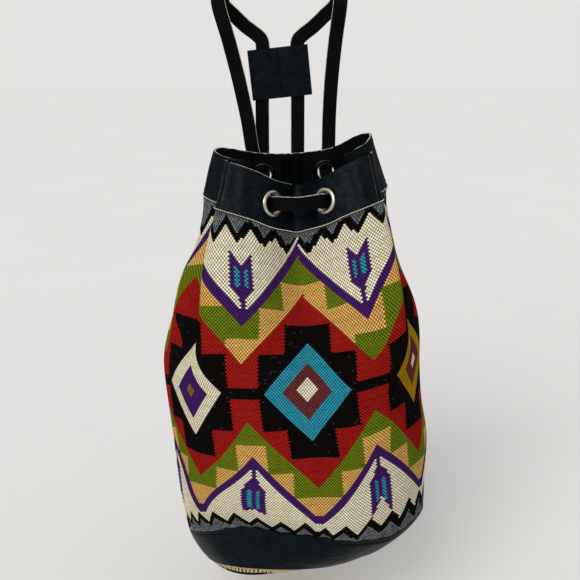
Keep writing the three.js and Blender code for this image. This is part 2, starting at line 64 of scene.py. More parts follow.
# Mouth and collar
MOUTH_X = 15.0
MOUTH_Z = -222.0
MOUTH_REAR = 4.0
MOUTH_DEPTH = 99.0
FRONT_HALF = 90.5
FRONT_SHIFT = 7.0
FRONT_DIP = 39.0
CREASE_BACK = 6.0
VALLEY = 34.0
VALLEY_TOP = 15.0
VALLEY_REACH = 0.058
PLEAT_TUCK = 28.0
PLEAT_AIR = 6.5
LOBE_HALF = 104.5
LOBE_LIFT = 8.0
LOBE_CURL = 6.0
LOBE_RISE = 8.0
LOBE_AT = 0.46
LOBE_REACH = 0.1
MOUTH_ROLL = 0.05
COLLAR_H = 50.0
COLLAR_TAPER = 0.875
COLLAR_LEAN = 0.737
COLLAR_BACK = 7.0
COLLAR_SEAM_SHARE = 0.22

# Body; a soft bump is a row of height, place and reach, and a patch has place and reach in two measures
BODY_TWIST = math.radians(7.3)
BELLY_AT = 0.5
FLARES = ((13.0, 0.262, 0.063),)
LEFT_FLARE = ((6.0, -0.255, 0.04),)
FLARE_END = 0.55
CREASE_TUCKS = ((9.0, 0.325, 0.035),)
CREASE_END = 0.38
SIDE_SWAY = ((-9.0, 0.43, 0.13, 0.26, 0.1), (-4.0, 0.43, 0.13, 0.66, 0.1), (6.0, -0.5, 0.15, 0.26, 0.08))
GATHER = 5.0
GATHERS = 9
GATHER_AT = 0.07
GATHER_FROM = 0.5

# Base
BASE_X = 28.0
BASE_Y = -130.0
BASE_Z = -577.0
BASE_HALF_W = 135.0
BASE_HALF_D = 106.0
BASE_ROLL = 0.1
BASE_TILT = -0.33
BASE_WAVES = ((-18.0, 0.23, 0.15), (4.0, -0.28, 0.22))
SEAM_RISES = ((8.0, -0.24, 0.11), (7.0, 0.3, 0.11), (5.0, 0.42, 0.09), (-4.0, 0.075, 0.07))
BASE_TUCKS = ((0.14, -0.2, 0.25),)
TUCK_FROM = 0.86
BAND_H = 45.0
BAND_CURVE = 1.35
BAND_DROPS = ((-4.0, 0.1, 0.2),)
BOTTOM_HALF_W = 99.0
BOTTOM_HALF_D = 86.0
BOTTOM_X = BASE_X - 14.0
BOTTOM_Y = BASE_Y + 6.0
BOTTOM_LEAN = 0.73 * BASE_ROLL
BOTTOM_BULGE = 22.0

# Eyelets
EYELET_HOLE = 19.0
EYELET_WALL = 0.8
FLANGE_W = 4.7
FLANGE_T = 1.8
WASHER_T = 1.2
EYELET_SPREAD = 0.083
REAR_LEFT = 0.237
REAR_RIGHT = 0.275
EYELET_UP = 0.5

# Lace and slider
LOOP_X = 68.0
LOOP_R = 9.0
LACE_Y = 15.5
LACE_CLEAR = 0.8
LACE_LEFT = -20.5
LACE_RIGHT = 21.0
LACE_END_LEFT = -36.0
LACE_END_RIGHT = 40.0
SLIDER_W = 70.0
SLIDER_H = 57.0
SLIDER_WALL = 2.2
SLIDER_WEB = 3.0
SLIDER_Z = -85.0
SLIDER_TURN = math.radians(6)
SLIDER_TRAVEL = 45.0


def smooth(low, high, x):
    """From 0 to 1 between two values, without corners."""
    t = np.clip((np.asarray(x, float) - low) / (high - low), 0, 1)
    return t * t * (3 - 2 * t)


def bell(x, at, width):
    """1 at a place, falling softly to 0 on both sides."""
    return np.exp(-(((x - at) / width) ** 2))


def bumps(x, rows):
    """Sum of soft bumps along a measure."""
    return sum(height * bell(x, at, reach) for height, at, reach in rows)


def patches(x, y, rows):
    """Sum of soft bumps over two measures."""
    return sum(height * bell(x, at, reach) * bell(y, level, span) for height, at, reach, level, span in rows)


def half_wave(x, end):
    """From 0 up to 1 and back to 0 at the end."""
    return np.sin(math.pi * np.minimum(x / end, 1))


def unit(v):
    return v / np.linalg.norm(v, axis=-1, keepdims=True)


def paired(place, up):
    """Two measures as arrays of one shape."""
    return np.broadcast_arrays(np.asarray(place, float), np.asarray(up, float))


# Outline of the drawn mouth at the collar's lower edge: share of the half round, x, y and rise.
# It runs from the front middle to the rear middle and is mirrored for the other side.
LAYER = WOVEN_T + PLEAT_AIR
FRONT_Y = MOUTH_REAR - MOUTH_DEPTH
CREASE_Y = FRONT_Y + CREASE_BACK
PLEAT_END = FRONT_HALF - PLEAT_TUCK
MOUTH_HALF = np.array([
    [0.000, 0, FRONT_Y + 0.91 * VALLEY, -0.925 * FRONT_DIP],
    [0.034, 0.138 * FRONT_HALF, FRONT_Y + 0.75 * VALLEY, -0.835 * FRONT_DIP],
    [0.087, 0.354 * FRONT_HALF, FRONT_Y + 0.29 * VALLEY, -0.62 * FRONT_DIP],
    [0.136, 0.564 * FRONT_HALF, FRONT_Y + 0.06 * VALLEY, -0.36 * FRONT_DIP],
    [0.187, 0.796 * FRONT_HALF, FRONT_Y, -0.15 * FRONT_DIP],
    [0.238, FRONT_HALF, CREASE_Y, 0],
    [0.262, FRONT_HALF - 5, CREASE_Y + LAYER, 0],
    [0.311, PLEAT_END + 1, CREASE_Y + 1.5 * LAYER, -3],
    [0.330, PLEAT_END + 2, CREASE_Y + 2.5 * LAYER, -3],
    [0.398, 0.885 * LOBE_HALF, 0.36 * CREASE_Y - 0.2 * MOUTH_DEPTH, 0.2 * LOBE_LIFT],
    [0.461, LOBE_HALF, MOUTH_REAR - 0.38 * MOUTH_DEPTH, LOBE_LIFT],
    [0.519, 0.87 * LOBE_HALF, MOUTH_REAR - 0.12 * MOUTH_DEPTH, LOBE_LIFT],
    [0.655, 0.51 * LOBE_HALF, MOUTH_REAR - 1, 0],
    [0.825, 0.26 * LOBE_HALF, MOUTH_REAR, -3],
    [1.000, 0, MOUTH_REAR, -4],
])
MOUTH = np.vstack([MOUTH_HALF, MOUTH_HALF[-2:0:-1] * [-1, -1, 1, 1] + [2, 0, 0, 0]])
SPANS = len(MOUTH)
SHARES = np.append(MOUTH[:, 0], 2.0)
LEAN_X = FRONT_SHIFT * MOUTH[:, 2] / CREASE_Y
LOW_X = MOUTH_X + MOUTH[:, 1] + LEAN_X
LOW_Z = MOUTH_Z + MOUTH[:, 3] + MOUTH_ROLL * (LOW_X - MOUTH_X)
LOWER_EDGE = np.stack([LOW_X, MOUTH[:, 2], LOW_Z], 1)
TOP_PULL = VALLEY_TOP * bell(np.minimum(MOUTH[:, 0], 2 - MOUTH[:, 0]), 0, VALLEY_REACH)
TOP_CURL = bell(MOUTH[:, 0], LOBE_AT, LOBE_REACH)
UPPER_X = MOUTH_X + COLLAR_TAPER * MOUTH[:, 1] + LEAN_X - LOBE_CURL * TOP_CURL
UPPER_Y = COLLAR_LEAN * MOUTH[:, 2] - COLLAR_BACK + TOP_PULL
UPPER_EDGE = np.stack([UPPER_X, UPPER_Y, LOW_Z + COLLAR_H + LOBE_RISE * TOP_CURL], 1)

# Drop below the mouth, centre x and y, half width and half depth of the body
SECTIONS = np.array([
    [0.00, 18, -52, 140, 100],
    [0.25, 20, -74, 150, 106],
    [0.50, 14, -96, 144, 110],
    [0.75, 24, -112, 143, 115],
    [1.00, BASE_X, BASE_Y, BASE_HALF_W, BASE_HALF_D],
])


def around(points, place):
    """A smooth closed curve through the points of an edge."""
    place = np.asarray(place, float) % SPANS
    i = np.floor(place).astype(int)
    f = (place - i)[..., None]
    a = points[(i - 1) % SPANS]
    b = points[i % SPANS]
    c = points[(i + 1) % SPANS]
    d = points[(i + 2) % SPANS]
    square = (2 * a - 5 * b + 4 * c - d) * f ** 2
    cube = (3 * b - a - 3 * c + d) * f ** 3
    return 0.5 * (2 * b + (c - a) * f + square + cube)


def share_at(place):
    """Share of the half round at a place counted in points of the mouth's outline."""
    return np.interp(np.asarray(place, float) % SPANS, np.arange(SPANS + 1), SHARES)


def place_at(share):
    """The other way: where a share lies among the points of the outline."""
    return np.interp(np.asarray(share, float) % 2, SHARES, np.arange(SPANS + 1))


def signed(share):
    """A share between -1 and 1, below 0 on the left."""
    return np.where(share > 1, share - 2, share)


def oval(share, x, y, half_w, half_d):
    """A point of an oval, nearly even along its rim."""
    even = BODY_TWIST + math.pi * share
    turn = even - (half_w - half_d) / (2 * (half_w + half_d)) * np.sin(2 * even)
    return x + half_w * np.sin(turn), y - half_d * np.cos(turn)


def section_at(drop):
    """Centre and half sizes of the body's oval at a drop below the mouth, smooth from row to row."""
    last = len(SECTIONS) - 1
    i = np.minimum(np.floor(drop * last).astype(int), last - 1)
    t = (drop * last - i)[..., None]
    a = SECTIONS[i]
    b = SECTIONS[i + 1]
    before = SECTIONS[np.maximum(i - 1, 0)]
    after = SECTIONS[np.minimum(i + 2, last)]
    into = np.where((i > 0)[..., None], (b - before) / 2, b - a)
    out = np.where((i + 2 <= last)[..., None], (after - a) / 2, b - a)
    row = a + (b - a) * t * t * (3 - 2 * t) + into * t * (1 - t) ** 2 - out * t * t * (1 - t)
    return row[..., 1], row[..., 2], row[..., 3], row[..., 4]


def base_tuck(share, drop):
    """How far the body keeps its full size where the load draws its foot in."""
    turn_in = np.clip((drop - TUCK_FROM) / (1 - TUCK_FROM), 0, 1) ** 2
    return 1 - bumps(signed(share), BASE_TUCKS) * turn_in


def base_rim(share):
    keep = base_tuck(share, 1.0)
    return oval(share, BASE_X, BASE_Y, BASE_HALF_W * keep, BASE_HALF_D * keep)


def seam_rise(side):
    """Unevenness of the seam between cloth and band, which rises and falls with the pull of the load."""
    return bumps(side, SEAM_RISES)


def base_height(share, x, y):
    """Height of the seam between cloth and band."""
    side = signed(share)
    level = BASE_Z + BASE_ROLL * (x - BASE_X) + BASE_TILT * (y - BASE_Y)
    return level + bumps(side, BASE_WAVES) + seam_rise(side)


def bottom_rim(share):
    """The band's lower edge."""
    x, y = oval(share, BOTTOM_X, BOTTOM_Y, BOTTOM_HALF_W, BOTTOM_HALF_D)
    level = BASE_Z - BAND_H + BOTTOM_LEAN * (x - BOTTOM_X) + BASE_TILT * (y - BOTTOM_Y)
    return np.stack([x, y, level + bumps(signed(share), BAND_DROPS)], -1)


def collar_at(place, up):
    """Face of the collar, from its lower edge at 0 to its upper one at 1."""
    place, up = paired(place, up)
    low = around(LOWER_EDGE, place)
    return low + (around(UPPER_EDGE, place) - low) * up[..., None]


def smooth_body_at(place, up):
    """Face of the hung cloth without its gathers, from the band at 0 to the collar at 1."""
    place, up = paired(place, up)
    drop = 1 - up
    share = share_at(place)
    side = signed(share)
    edge = around(LOWER_EDGE, place)
    x, y, half_w, half_d = section_at(drop)
    keep = base_tuck(share, drop)
    full_x, full_y = oval(share, x, y, half_w * keep, half_d * keep)
    opened = smooth(0, BELLY_AT, drop)
    flare = (bumps(np.abs(side), FLARES) + bumps(side, LEFT_FLARE)) * half_wave(drop, FLARE_END)
    tuck = bumps(np.abs(side), CREASE_TUCKS) * half_wave(drop, CREASE_END)
    spread = flare - tuck + patches(side, drop, SIDE_SWAY)
    z = edge[..., 2] + (base_height(share, *base_rim(share)) - edge[..., 2]) * drop
    body_x = edge[..., 0] + (full_x - edge[..., 0]) * opened + np.sign(side) * spread
    body_y = edge[..., 1] + (full_y - edge[..., 1]) * opened
    return np.stack([body_x, body_y, z], -1)


def gather_rise(drop):
    """How much of a gather's height is left at a drop below the collar."""
    return drop / GATHER_AT * np.exp(1 - drop / GATHER_AT)


def body_at(place, up):
    """Face of the hung cloth, with small gathers along the rear of the collar."""
    place, up = paired(place, up)
    share = share_at(place)
    rear = np.maximum(0, np.abs(signed(share)) - GATHER_FROM)
    fold = 0.5 * GATHER * gather_rise(1 - up) * (1 - np.cos(2 * math.pi * GATHERS * rear))
    out_x, out_y = oval(share, 0, 0, BASE_HALF_W, BASE_HALF_D)
    reach = np.hypot(out_x, out_y)
    gathered = np.stack([fold * out_x / reach, fold * out_y / reach, 0 * fold], -1)
    return smooth_body_at(place, up) + gathered


def band_at(place, up):
    """Face of the base band, which turns under towards its lower edge."""
    place, up = paired(place, up)
    share = share_at(place)
    top_x, top_y = base_rim(share)
    low = bottom_rim(share)
    under = (1 - up) ** BAND_CURVE
    x = top_x + (low[..., 0] - top_x) * under
    y = top_y + (low[..., 1] - top_y) * under
    z = low[..., 2] + (base_height(share, top_x, top_y) - low[..., 2]) * up
    return np.stack([x, y, z], -1)


def bottom_at(place, out):
    """The hanging bottom, from its middle at 0 to its rim at 1."""
    place, out = paired(place, out)
    middle = np.array([BOTTOM_X, BOTTOM_Y, BASE_Z - BAND_H])
    point = middle + (bottom_rim(share_at(place)) - middle) * out[..., None]
    point[..., 2] -= BOTTOM_BULGE * (1 - out * out)
    return point


def normal_at(face, place, up):
    """Outward normal of one of these faces."""
    step = 0.01
    along = face(place + step, up) - face(place - step, up)
    low = np.maximum(0, np.asarray(up, float) - step)
    high = np.minimum(1, np.asarray(up, float) + step)
    return unit(np.cross(along, face(place, high) - face(place, low)))


def grid_normals(grid, ring=False):
    """Outward normals of a grid of columns around the bag and rows upwards."""
    if ring:
        along = np.roll(grid, -1, 0) - np.roll(grid, 1, 0)
    else:
        along = np.gradient(grid, axis=0)
    return unit(np.cross(along, np.gradient(grid, axis=1)))


# Mesh making
def piece(name, points, faces, materials, body, face_material=None, sharp=40):
    """A mesh from points in millimetres that rides on a body and takes its finish from a slot."""
    mesh = bpy.data.meshes.new(name)
    mesh.from_pydata((np.asarray(points) * MM).tolist(), [], faces)
    mesh.polygons.foreach_set("use_smooth", np.ones(len(faces), bool))
    for material in materials:
        mesh.materials.append(material)
    if face_material is not None:
        mesh.polygons.foreach_set("material_index", np.asarray(face_material, np.int32))
    mesh.set_sharp_from_angle(angle=math.radians(sharp))
    mesh.update()
    made = bpy.data.objects.new(name, mesh)
    bpy.context.scene.collection.objects.link(made)
    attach(made, body)
    return made


def shell_faces(cols, rows, ring):
    """Outer skin, inner skin, lower rim, upper rim and ends of a wall, as lists of faces."""
    spans = cols if ring else cols - 1
    brim = rows - 1

    def outer(i, j):
        return (i % cols) * rows + j

    def inner(i, j):
        return cols * rows + outer(i, j)

    skin = []
    lining = []
    low = []
    top = []
    ends = []
    for i in range(spans):
        k = i + 1
        for j in range(brim):
            skin.append((outer(i, j), outer(k, j), outer(k, j + 1), outer(i, j + 1)))
            lining.append((inner(i, j + 1), inner(k, j + 1), inner(k, j), inner(i, j)))
        low.append((inner(i, 0), inner(k, 0), outer(k, 0), outer(i, 0)))
        top.append((outer(i, brim), outer(k, brim), inner(k, brim), inner(i, brim)))
    if not ring:
        last = cols - 1
        for j in range(brim):
            ends.append((outer(0, j), outer(0, j + 1), inner(0, j + 1), inner(0, j)))
            ends.append((inner(last, j), inner(last, j + 1), outer(last, j + 1), outer(last, j)))
    return skin, lining, low, top, ends


def tube_faces(start, corners, rows, outward=True):
    """Faces between the rows of a tube whose points start at a number, seen from outside or from within."""
    faces = []
    for k in range(rows - 1):
        here = start + k * corners
        for c in range(corners):
            after = (c + 1) % corners
            if outward:
                faces.append((here + c, here + after, here + corners + after, here + corners + c))
            else:
                faces.append((here + c, here + corners + c, here + corners + after, here + after))
    return faces


def turned_piece(name, profile, centre, axis, material, steps=64):
    """A ring turned about an axis from points of radius and height."""
    side = unit(np.cross(axis, [0.0, 0.0, 1.0]))
    upward = np.cross(axis, side)
    turn = np.linspace(0, 2 * math.pi, steps, endpoint=False)
    spokes = np.cos(turn)[:, None] * side + np.sin(turn)[:, None] * upward
    rings = np.array(profile)
    points = centre + rings[None, :, :1] * spokes[:, None, :] + rings[None, :, 1:] * axis
    rows = len(profile)
    faces = []
    for i in range(steps):
        after = (i + 1) % steps
        for j in range(rows):
            k = (j + 1) % rows
            faces.append((i * rows + j, after * rows + j, after * rows + k, i * rows + k))
    return piece(name, points.reshape(-1, 3), faces, [material], "bag")


# A stitch from end to end, its girth, and how far it stands off, as shares of its length and thickness
STITCH_SIDES = 6
STITCH_ALONG = np.linspace(-0.5, 0.5, 5)
STITCH_GIRTH = (0.35, 0.9, 1.0, 0.9, 0.35)
STITCH_RISE = (-0.5, 0.2, 0.45, 0.2, -0.5)


def sewn_line(path, out, pitch, length, thick, lift):
    """Points and faces of a row of stitches along a path, standing off it along the given normals."""
    run = np.concatenate([[0], np.cumsum(np.linalg.norm(np.diff(path, axis=0), axis=1))])
    points = []
    faces = []
    for k in range(int(run[-1] / pitch)):
        at = (k + 0.5) * pitch
        spot = np.stack([np.interp(at + STITCH_ALONG * length, run, path[:, c]) for c in range(3)], -1)
        lean = unit(np.array([np.interp(at, run, out[:, c]) for c in range(3)]))
        across = np.cross(unit(spot[-1] - spot[0]), lean)
        base = len(points)
        for centre, girth, rise in zip(spot, STITCH_GIRTH, STITCH_RISE):
            for side in range(STITCH_SIDES):
                turn = 2 * math.pi * side / STITCH_SIDES
                swing = math.cos(turn) * across + math.sin(turn) * lean
                points.append(centre + lean * (lift + rise * thick) + swing * girth * thick / 2)
        faces += tube_faces(base, STITCH_SIDES, len(spot), outward=False)
        faces.append(tuple(range(base, base + STITCH_SIDES)))
        faces.append(tuple(reversed(range(len(points) - STITCH_SIDES, len(points)))))
    return points, faces


def stitches(name, lines, material, body, pitch=3.4, length=2.6, thick=0.7, lift=0.1):
    """Rows of stitches along several paths, as one piece."""
    points = []
    faces = []
    for path, out in lines:
        more, more_faces = sewn_line(path, out, pitch, length, thick, lift)
        faces += [tuple(i + len(points) for i in face) for face in more_faces]
        points += more
    return piece(name, points, faces, [material], body, sharp=80)


# Materials
def colour(code):
    """A hex colour as it is seen, turned to the linear values that the shaders take."""
    seen = np.array([int(code[i:i + 2], 16) / 255 for i in (1, 3, 5)])
    linear = np.where(seen <= 0.04045, seen / 12.92, ((seen + 0.055) / 1.055) ** 2.4)
    return (*linear, 1.0)


def node(tree, kind, sockets, stops=(), **settings):
    """Add a node with its settings; each socket takes a value or a link from another node's output.

    Stops are the places and colours of a node that runs from one colour to another.
    """
    made = tree.nodes.new("ShaderNode" + kind)
    for key, value in settings.items():
        setattr(made, key, value)
    for key, value in sockets.items():
        if isinstance(value, bpy.types.NodeSocket):
            tree.links.new(value, made.inputs[key])
        else:
            made.inputs[key].default_value = value
    for i, (position, code) in enumerate(stops):
        made.color_ramp.elements[i].position = position
        made.color_ramp.elements[i].color = colour(code)
    return made


def new_material(name):
    """An empty material, its node tree, and the place on the object that its patterns are laid by."""
    made = bpy.data.materials.new(name)
    made.use_nodes = True
    made.node_tree.nodes.clear()
    return made, made.node_tree, node(made.node_tree, "TexCoord", {}).outputs["Object"]


def fineness(size):
    """Texture scale that gives a pattern a size in millimetres."""
    return 1 / (size * MM)


# Weft-faced weave: each float of yarn passes over two warps and stands up as a bead, and every other
# row is shifted by half a float, so that the diagonals of the design climb by one row each half float
HALF_FLOATS = 248
FLOAT = 2 * 2 * PANEL_HALF / HALF_FLOATS
WEFT_ROW = 1.886
BEAD_RISE = 0.35

# Sizes of the patterns in the materials, in millimetres. Wool fibre, nap, cut fibre and the plies of thread
# are finer than a pixel, and are drawn this coarse so that they show.
WOOL_FIBRE = 0.9
HIDE_CLOUD = 38.0
HIDE_PEBBLE = 1.4
HIDE_CREASE = 9.0
LACE_NAP = 1.1
LACE_RUB = 24.0
CUT_FIBRE = 5.0
NICKEL_MARK = 3.0
THREAD_PLY = 0.6
ROLLER_MARK = 400.0


def handwoven_wool():
    """Dyed wool yarn, hand woven as a flat kilim: matt and fibrous, in beads, with painted shade in the gaps
    between them and a painted highlight on their tops.
    """
    made, tree, place = new_material("handwoven_wool")
    yarn = node(tree, "VertexColor", {}, layer_name="yarn")
    cloth = node(tree, "UVMap", {}, uv_map="cloth")
    axes = node(tree, "SeparateXYZ", {0: cloth.outputs[0]})
    along = node(tree, "Math", {0: axes.outputs[0], 1: 2 * math.pi * fineness(FLOAT)}, operation="MULTIPLY")
    across = node(tree, "Math", {0: axes.outputs[1], 1: math.pi * fineness(WEFT_ROW)}, operation="MULTIPLY")
    floats = node(tree, "Math", {0: along.outputs[0]}, operation="COSINE")
    rows = node(tree, "Math", {0: across.outputs[0]}, operation="SINE")
    bead = node(tree, "Math", {0: floats.outputs[0], 1: rows.outputs[0]}, operation="MULTIPLY")
    fibre = node(tree, "TexNoise", {
        "Vector": place, "Scale": fineness(WOOL_FIBRE), "Detail": 3.0, "Roughness": 0.7})
    # Painted shade and highlight of the beads: the yarn's colour falls nearly to black in the gaps between
    # beads and rises above it on their crowns
    painted_bead_shade = node(tree, "MapRange", {
        "Value": bead.outputs[0], "From Min": -1.0, "To Min": 0.02, "To Max": 1.34})
    lint = node(tree, "MapRange", {"Value": fibre.outputs[0], "To Min": 0.82, "To Max": 1.18})
    tone = node(tree, "Math", {0: painted_bead_shade.outputs[0], 1: lint.outputs[0]}, operation="MULTIPLY")
    # The yarn's colour times the painted shade of the bead gaps, the painted highlight of the bead crowns, and
    # the lint of the fibre
    worn = node(tree, "VectorMath", {0: yarn.outputs[0], "Scale": tone.outputs[0]}, operation="SCALE")
    round_yarn = node(tree, "Bump", {"Height": bead.outputs[0], "Distance": 0.25 * MM, "Strength": 0.6})
    fuzz = node(tree, "Bump", {
        "Height": fibre.outputs[0], "Distance": 0.25 * MM, "Strength": 0.5, "Normal": round_yarn.outputs[0]})
    shader = node(tree, "BsdfPrincipled", {
        "Base Color": worn.outputs[0], "Roughness": 0.95, "Specular IOR Level": 0.03,
        "Normal": fuzz.outputs[0]})
    node(tree, "OutputMaterial", {"Surface": shader.outputs[0]})
    return made


def navy_leather():
    """Drum-dyed cowhide with a waxed finish: near black, soft broad highlights, a fine pebbled grain, and its
    colour painted lighter on the ridges of its creases and darker in their hollows as painted highlight and
    painted shade.
    """
    made, tree, place = new_material("waxed_cowhide")
    cloudy = node(tree, "TexNoise", {
        "Vector": place, "Scale": fineness(HIDE_CLOUD), "Detail": 4.0, "Roughness": 0.6})
    pebble = node(tree, "TexVoronoi", {
        "Vector": place, "Scale": fineness(HIDE_PEBBLE), "Smoothness": 0.6}, feature="SMOOTH_F1")
    creases = node(tree, "TexNoise", {
        "Vector": place, "Scale": fineness(HIDE_CREASE), "Detail": 5.0, "Roughness": 0.62})
    # The near-black dye, painted lighter on the crease ridges as a painted highlight and darker in the crease
    # hollows as painted shade
    dye = node(tree, "ValToRGB", {"Fac": creases.outputs[0]}, stops=((0.35, "#03080b"), (0.7, "#0a141a")))
    wax = node(tree, "MapRange", {"Value": cloudy.outputs[0], "To Min": 0.28, "To Max": 0.44})
    grain = node(tree, "Bump", {"Height": pebble.outputs["Distance"], "Distance": 0.12 * MM, "Strength": 0.5})
    flex = node(tree, "Bump", {
        "Height": creases.outputs[0], "Distance": 1.6 * MM, "Strength": 0.8, "Normal": grain.outputs[0]})
    shader = node(tree, "BsdfPrincipled", {
        "Base Color": dye.outputs[0], "Roughness": wax.outputs[0], "IOR": 1.5, "Specular IOR Level": 0.05,
        "Normal": flex.outputs[0]})
    node(tree, "OutputMaterial", {"Surface": shader.outputs[0]})
    return made


def black_lace_leather():
    """Split leather cut into lace and dyed through: matt black with a fine nap."""
    made, tree, place = new_material("dyed_split_leather")
    nap = node(tree, "TexNoise", {
        "Vector": place, "Scale": fineness(LACE_NAP), "Detail": 4.0, "Roughness": 0.7})
    rubbed = node(tree, "TexNoise", {"Vector": place, "Scale": fineness(LACE_RUB), "Detail": 3.0})
    dye = node(tree, "ValToRGB", {"Fac": rubbed.outputs[0]}, stops=((0.35, "#030404"), (0.75, "#070808")))
    bump = node(tree, "Bump", {"Height": nap.outputs[0], "Distance": 0.3 * MM, "Strength": 0.5})
    shader = node(tree, "BsdfPrincipled", {
        "Base Color": dye.outputs[0], "Roughness": 0.75, "Specular IOR Level": 0.05,
        "Normal": bump.outputs[0]})
    node(tree, "OutputMaterial", {"Surface": shader.outputs[0]})
    return made


def raw_leather_edge():
    """The cut edge of the hide, left raw: pale grey-tan fibre, patchy where the dye has crept in."""
    made, tree, place = new_material("raw_cut_hide")
    fibre = node(tree, "TexNoise", {
        "Vector": place, "Scale": fineness(CUT_FIBRE), "Detail": 4.0, "Roughness": 0.65})
    dye = node(tree, "ValToRGB", {"Fac": fibre.outputs[0]}, stops=((0.3, "#5b564d"), (0.6, "#b3ab9e")))
    bump = node(tree, "Bump", {"Height": fibre.outputs[0], "Distance": 0.3 * MM, "Strength": 0.5})
    shader = node(tree, "BsdfPrincipled", {
        "Base Color": dye.outputs[0], "Roughness": 0.85, "Specular IOR Level": 0.25,
        "Normal": bump.outputs[0]})
    node(tree, "OutputMaterial", {"Surface": shader.outputs[0]})
    return made


def nickel_plate(name, dark, light):
    """Nickel-plated brass, stamped and tumbled: warm silver, fairly sharp reflections, faint marks."""
    made, tree, place = new_material(name)
    marks = node(tree, "TexNoise", {
        "Vector": place, "Scale": fineness(NICKEL_MARK), "Detail": 5.0, "Roughness": 0.7})
    haze = node(tree, "MapRange", {"Value": marks.outputs[0], "To Min": 0.16, "To Max": 0.34})
    tone = node(tree, "ValToRGB", {"Fac": marks.outputs[0]}, stops=((0, dark), (1, light)))
    bump = node(tree, "Bump", {"Height": marks.outputs[0], "Distance": 0.08 * MM, "Strength": 0.3})
    shader = node(tree, "BsdfPrincipled", {
        "Base Color": tone.outputs[0], "Metallic": 1.0, "Roughness": haze.outputs[0],
        "Normal": bump.outputs[0]})
    node(tree, "OutputMaterial", {"Surface": shader.outputs[0]})
    return made


def waxed_thread(name, light, dark):
    """Twisted waxed thread: a soft sheen, with the dark lines of its plies across it."""
    made, tree, place = new_material(name)
    plies = node(tree, "TexNoise", {"Vector": place, "Scale": fineness(THREAD_PLY), "Detail": 2.0})
    tone = node(tree, "ValToRGB", {"Fac": plies.outputs[0]}, stops=((0.35, dark), (0.6, light)))
    shader = node(tree, "BsdfPrincipled", {
        "Base Color": tone.outputs[0], "Roughness": 0.7, "Specular IOR Level": 0.15})
    node(tree, "OutputMaterial", {"Surface": shader.outputs[0]})
    return made


WOOL = handwoven_wool()
LEATHER = navy_leather()
LACE = black_lace_leather()
RAW_EDGE = raw_leather_edge()
NICKEL = nickel_plate("nickel_plated_brass", "#98917f", "#d6cfc0")
# Washers inside the bag: the same nickel darkened as painted shade, because the inside of the bag lies in
# shade
SHADED_NICKEL = nickel_plate("nickel_painted_shade", "#171614", "#35312c")
PALE_THREAD = waxed_thread("pale_waxed_thread", "#d8d5cb", "#aaa69a")
DARK_THREAD = waxed_thread("navy_waxed_thread", "#161d21", "#070a0c")

# Yarns of the kilim
YARNS = {
    "cream": "#d9d1b3", "purple": "#3f1c5c", "teal": "#2a889d", "green": "#627013", "tan": "#cd9d54",
    "red": "#951914", "black": "#0c0a09", "maroon": "#642c30", "grey": "#5e6260", "mustard": "#a27c0e",
    "olive": "#6b6428", "undyed": "#cdb388",
}
YARN_NAMES = list(YARNS)
YARN_COLOURS = np.array([colour(code)[:3] for code in YARNS.values()])
# Unevenness of the dye from skein to skein and of the spinning from float to float; grey yarn is heathered,
# and black yarn has pale specks where its spinning is most uneven
SKEINS = 4096
SKEIN_SPREAD = 0.04
SPUN_FLOATS = 65536
SPUN_SPREAD = 0.07
HEATHER = 3.5
SPECK_FROM = 0.13
SPECK_GAIN = 4.0
TINT_RANGE = (0.4, 5.0)
# Steps that spread rows and yarns over the skeins, and floats and rows over the spinning
SKEIN_STEPS = (7, 131)
SPUN_STEPS = (613, 97)

# Kilim design, in millimetres of cloth: s runs around from the front middle, d up from the row of
# diamonds, and the design is drawn nearly alike above and below that row. Heights count from the row.
REPEAT = 2 * HALF_ROUND / 6
HALF_REPEAT = REPEAT / 2
CLIMB = WEFT_ROW / (FLOAT / 2) * HALF_REPEAT
LOWEST_ROW = 112
HIGHEST_ROW = 118
# Ring, field and heart of each diamond, its half width, and its heart's
DIAMONDS = [
    ("teal", "maroon", "cream", 46.5, 12),
    ("mustard", "maroon", "cream", 41.5, 7),
    ("cream", "purple", "olive", 43, 6.5),
]
FIELD_SHARE = 0.575
BAR_H = 5.5
STEP_NEAR = 25.5
STEP_FAR = 52.0
CROSS_NEAR_H = 71.0
CROSS_FAR_H = 40.0
RED_H = 107.0
DEEP_RED_H = 103.5
STEP_HEIGHTS = (116.0, 86.0, 55.0)
ZIGZAG_H = 151.0
DEEP_ZIGZAG_H = 149.0
LOW_TIP_H = 145.0
STRIPE = 6.2
PIPING = 2.6
# Arrow in each valley of the zigzag: half widths, heights and slopes; a notch has a height and a slope
ARROW_HALF = 11.8
LOW_ARROW_HALF = 12.8
ARROW_STEM = 2.6
ARROW_STEM_H = 106.0
ARROW_BAR = 7.1
ARROW_BAR_H = 105.5
LOW_ARROW_BAR_H = 107.0
SHOULDER_H = 92.5
SHOULDER_SLOPE = 1.5
NOTCH = (126.0, 1.15)
LOW_LEFT_NOTCH = (136.0, 0.5)
LOW_RIGHT_NOTCH = (127.0, 1.9)
BAR_SHORT = 7.0
LOW_BAR_SHORT = 4.0
# Sawtooth borders: pitch and height of their teeth, where these start, and the black line on them.
# The middle teeth are lower at the top, and the right ones taller at the foot.
TOP_TOOTH = 28.2
TOP_TOOTH_H = 15.0
TOP_SAW_H = 144.0
TOP_LINE = 8.5
MIDDLE_LOSS = ((6.0, 0.0, 48.0),)
LOW_TOOTH = 26.5
LOW_TOOTH_H = 14.0
LOW_TOOTH_MIDDLE = 6.0
LOW_TOOTH_START = 21.75
LOW_SAW_H = 150.0
LOW_LINE = 9.5
RIGHT_TOOTH_GAIN = 4.0
RIGHT_TOOTH_SPAN = (60, 120)
RIGHT_LINE_GAIN = 6.0
RIGHT_LINE_SPAN = (50, 110)

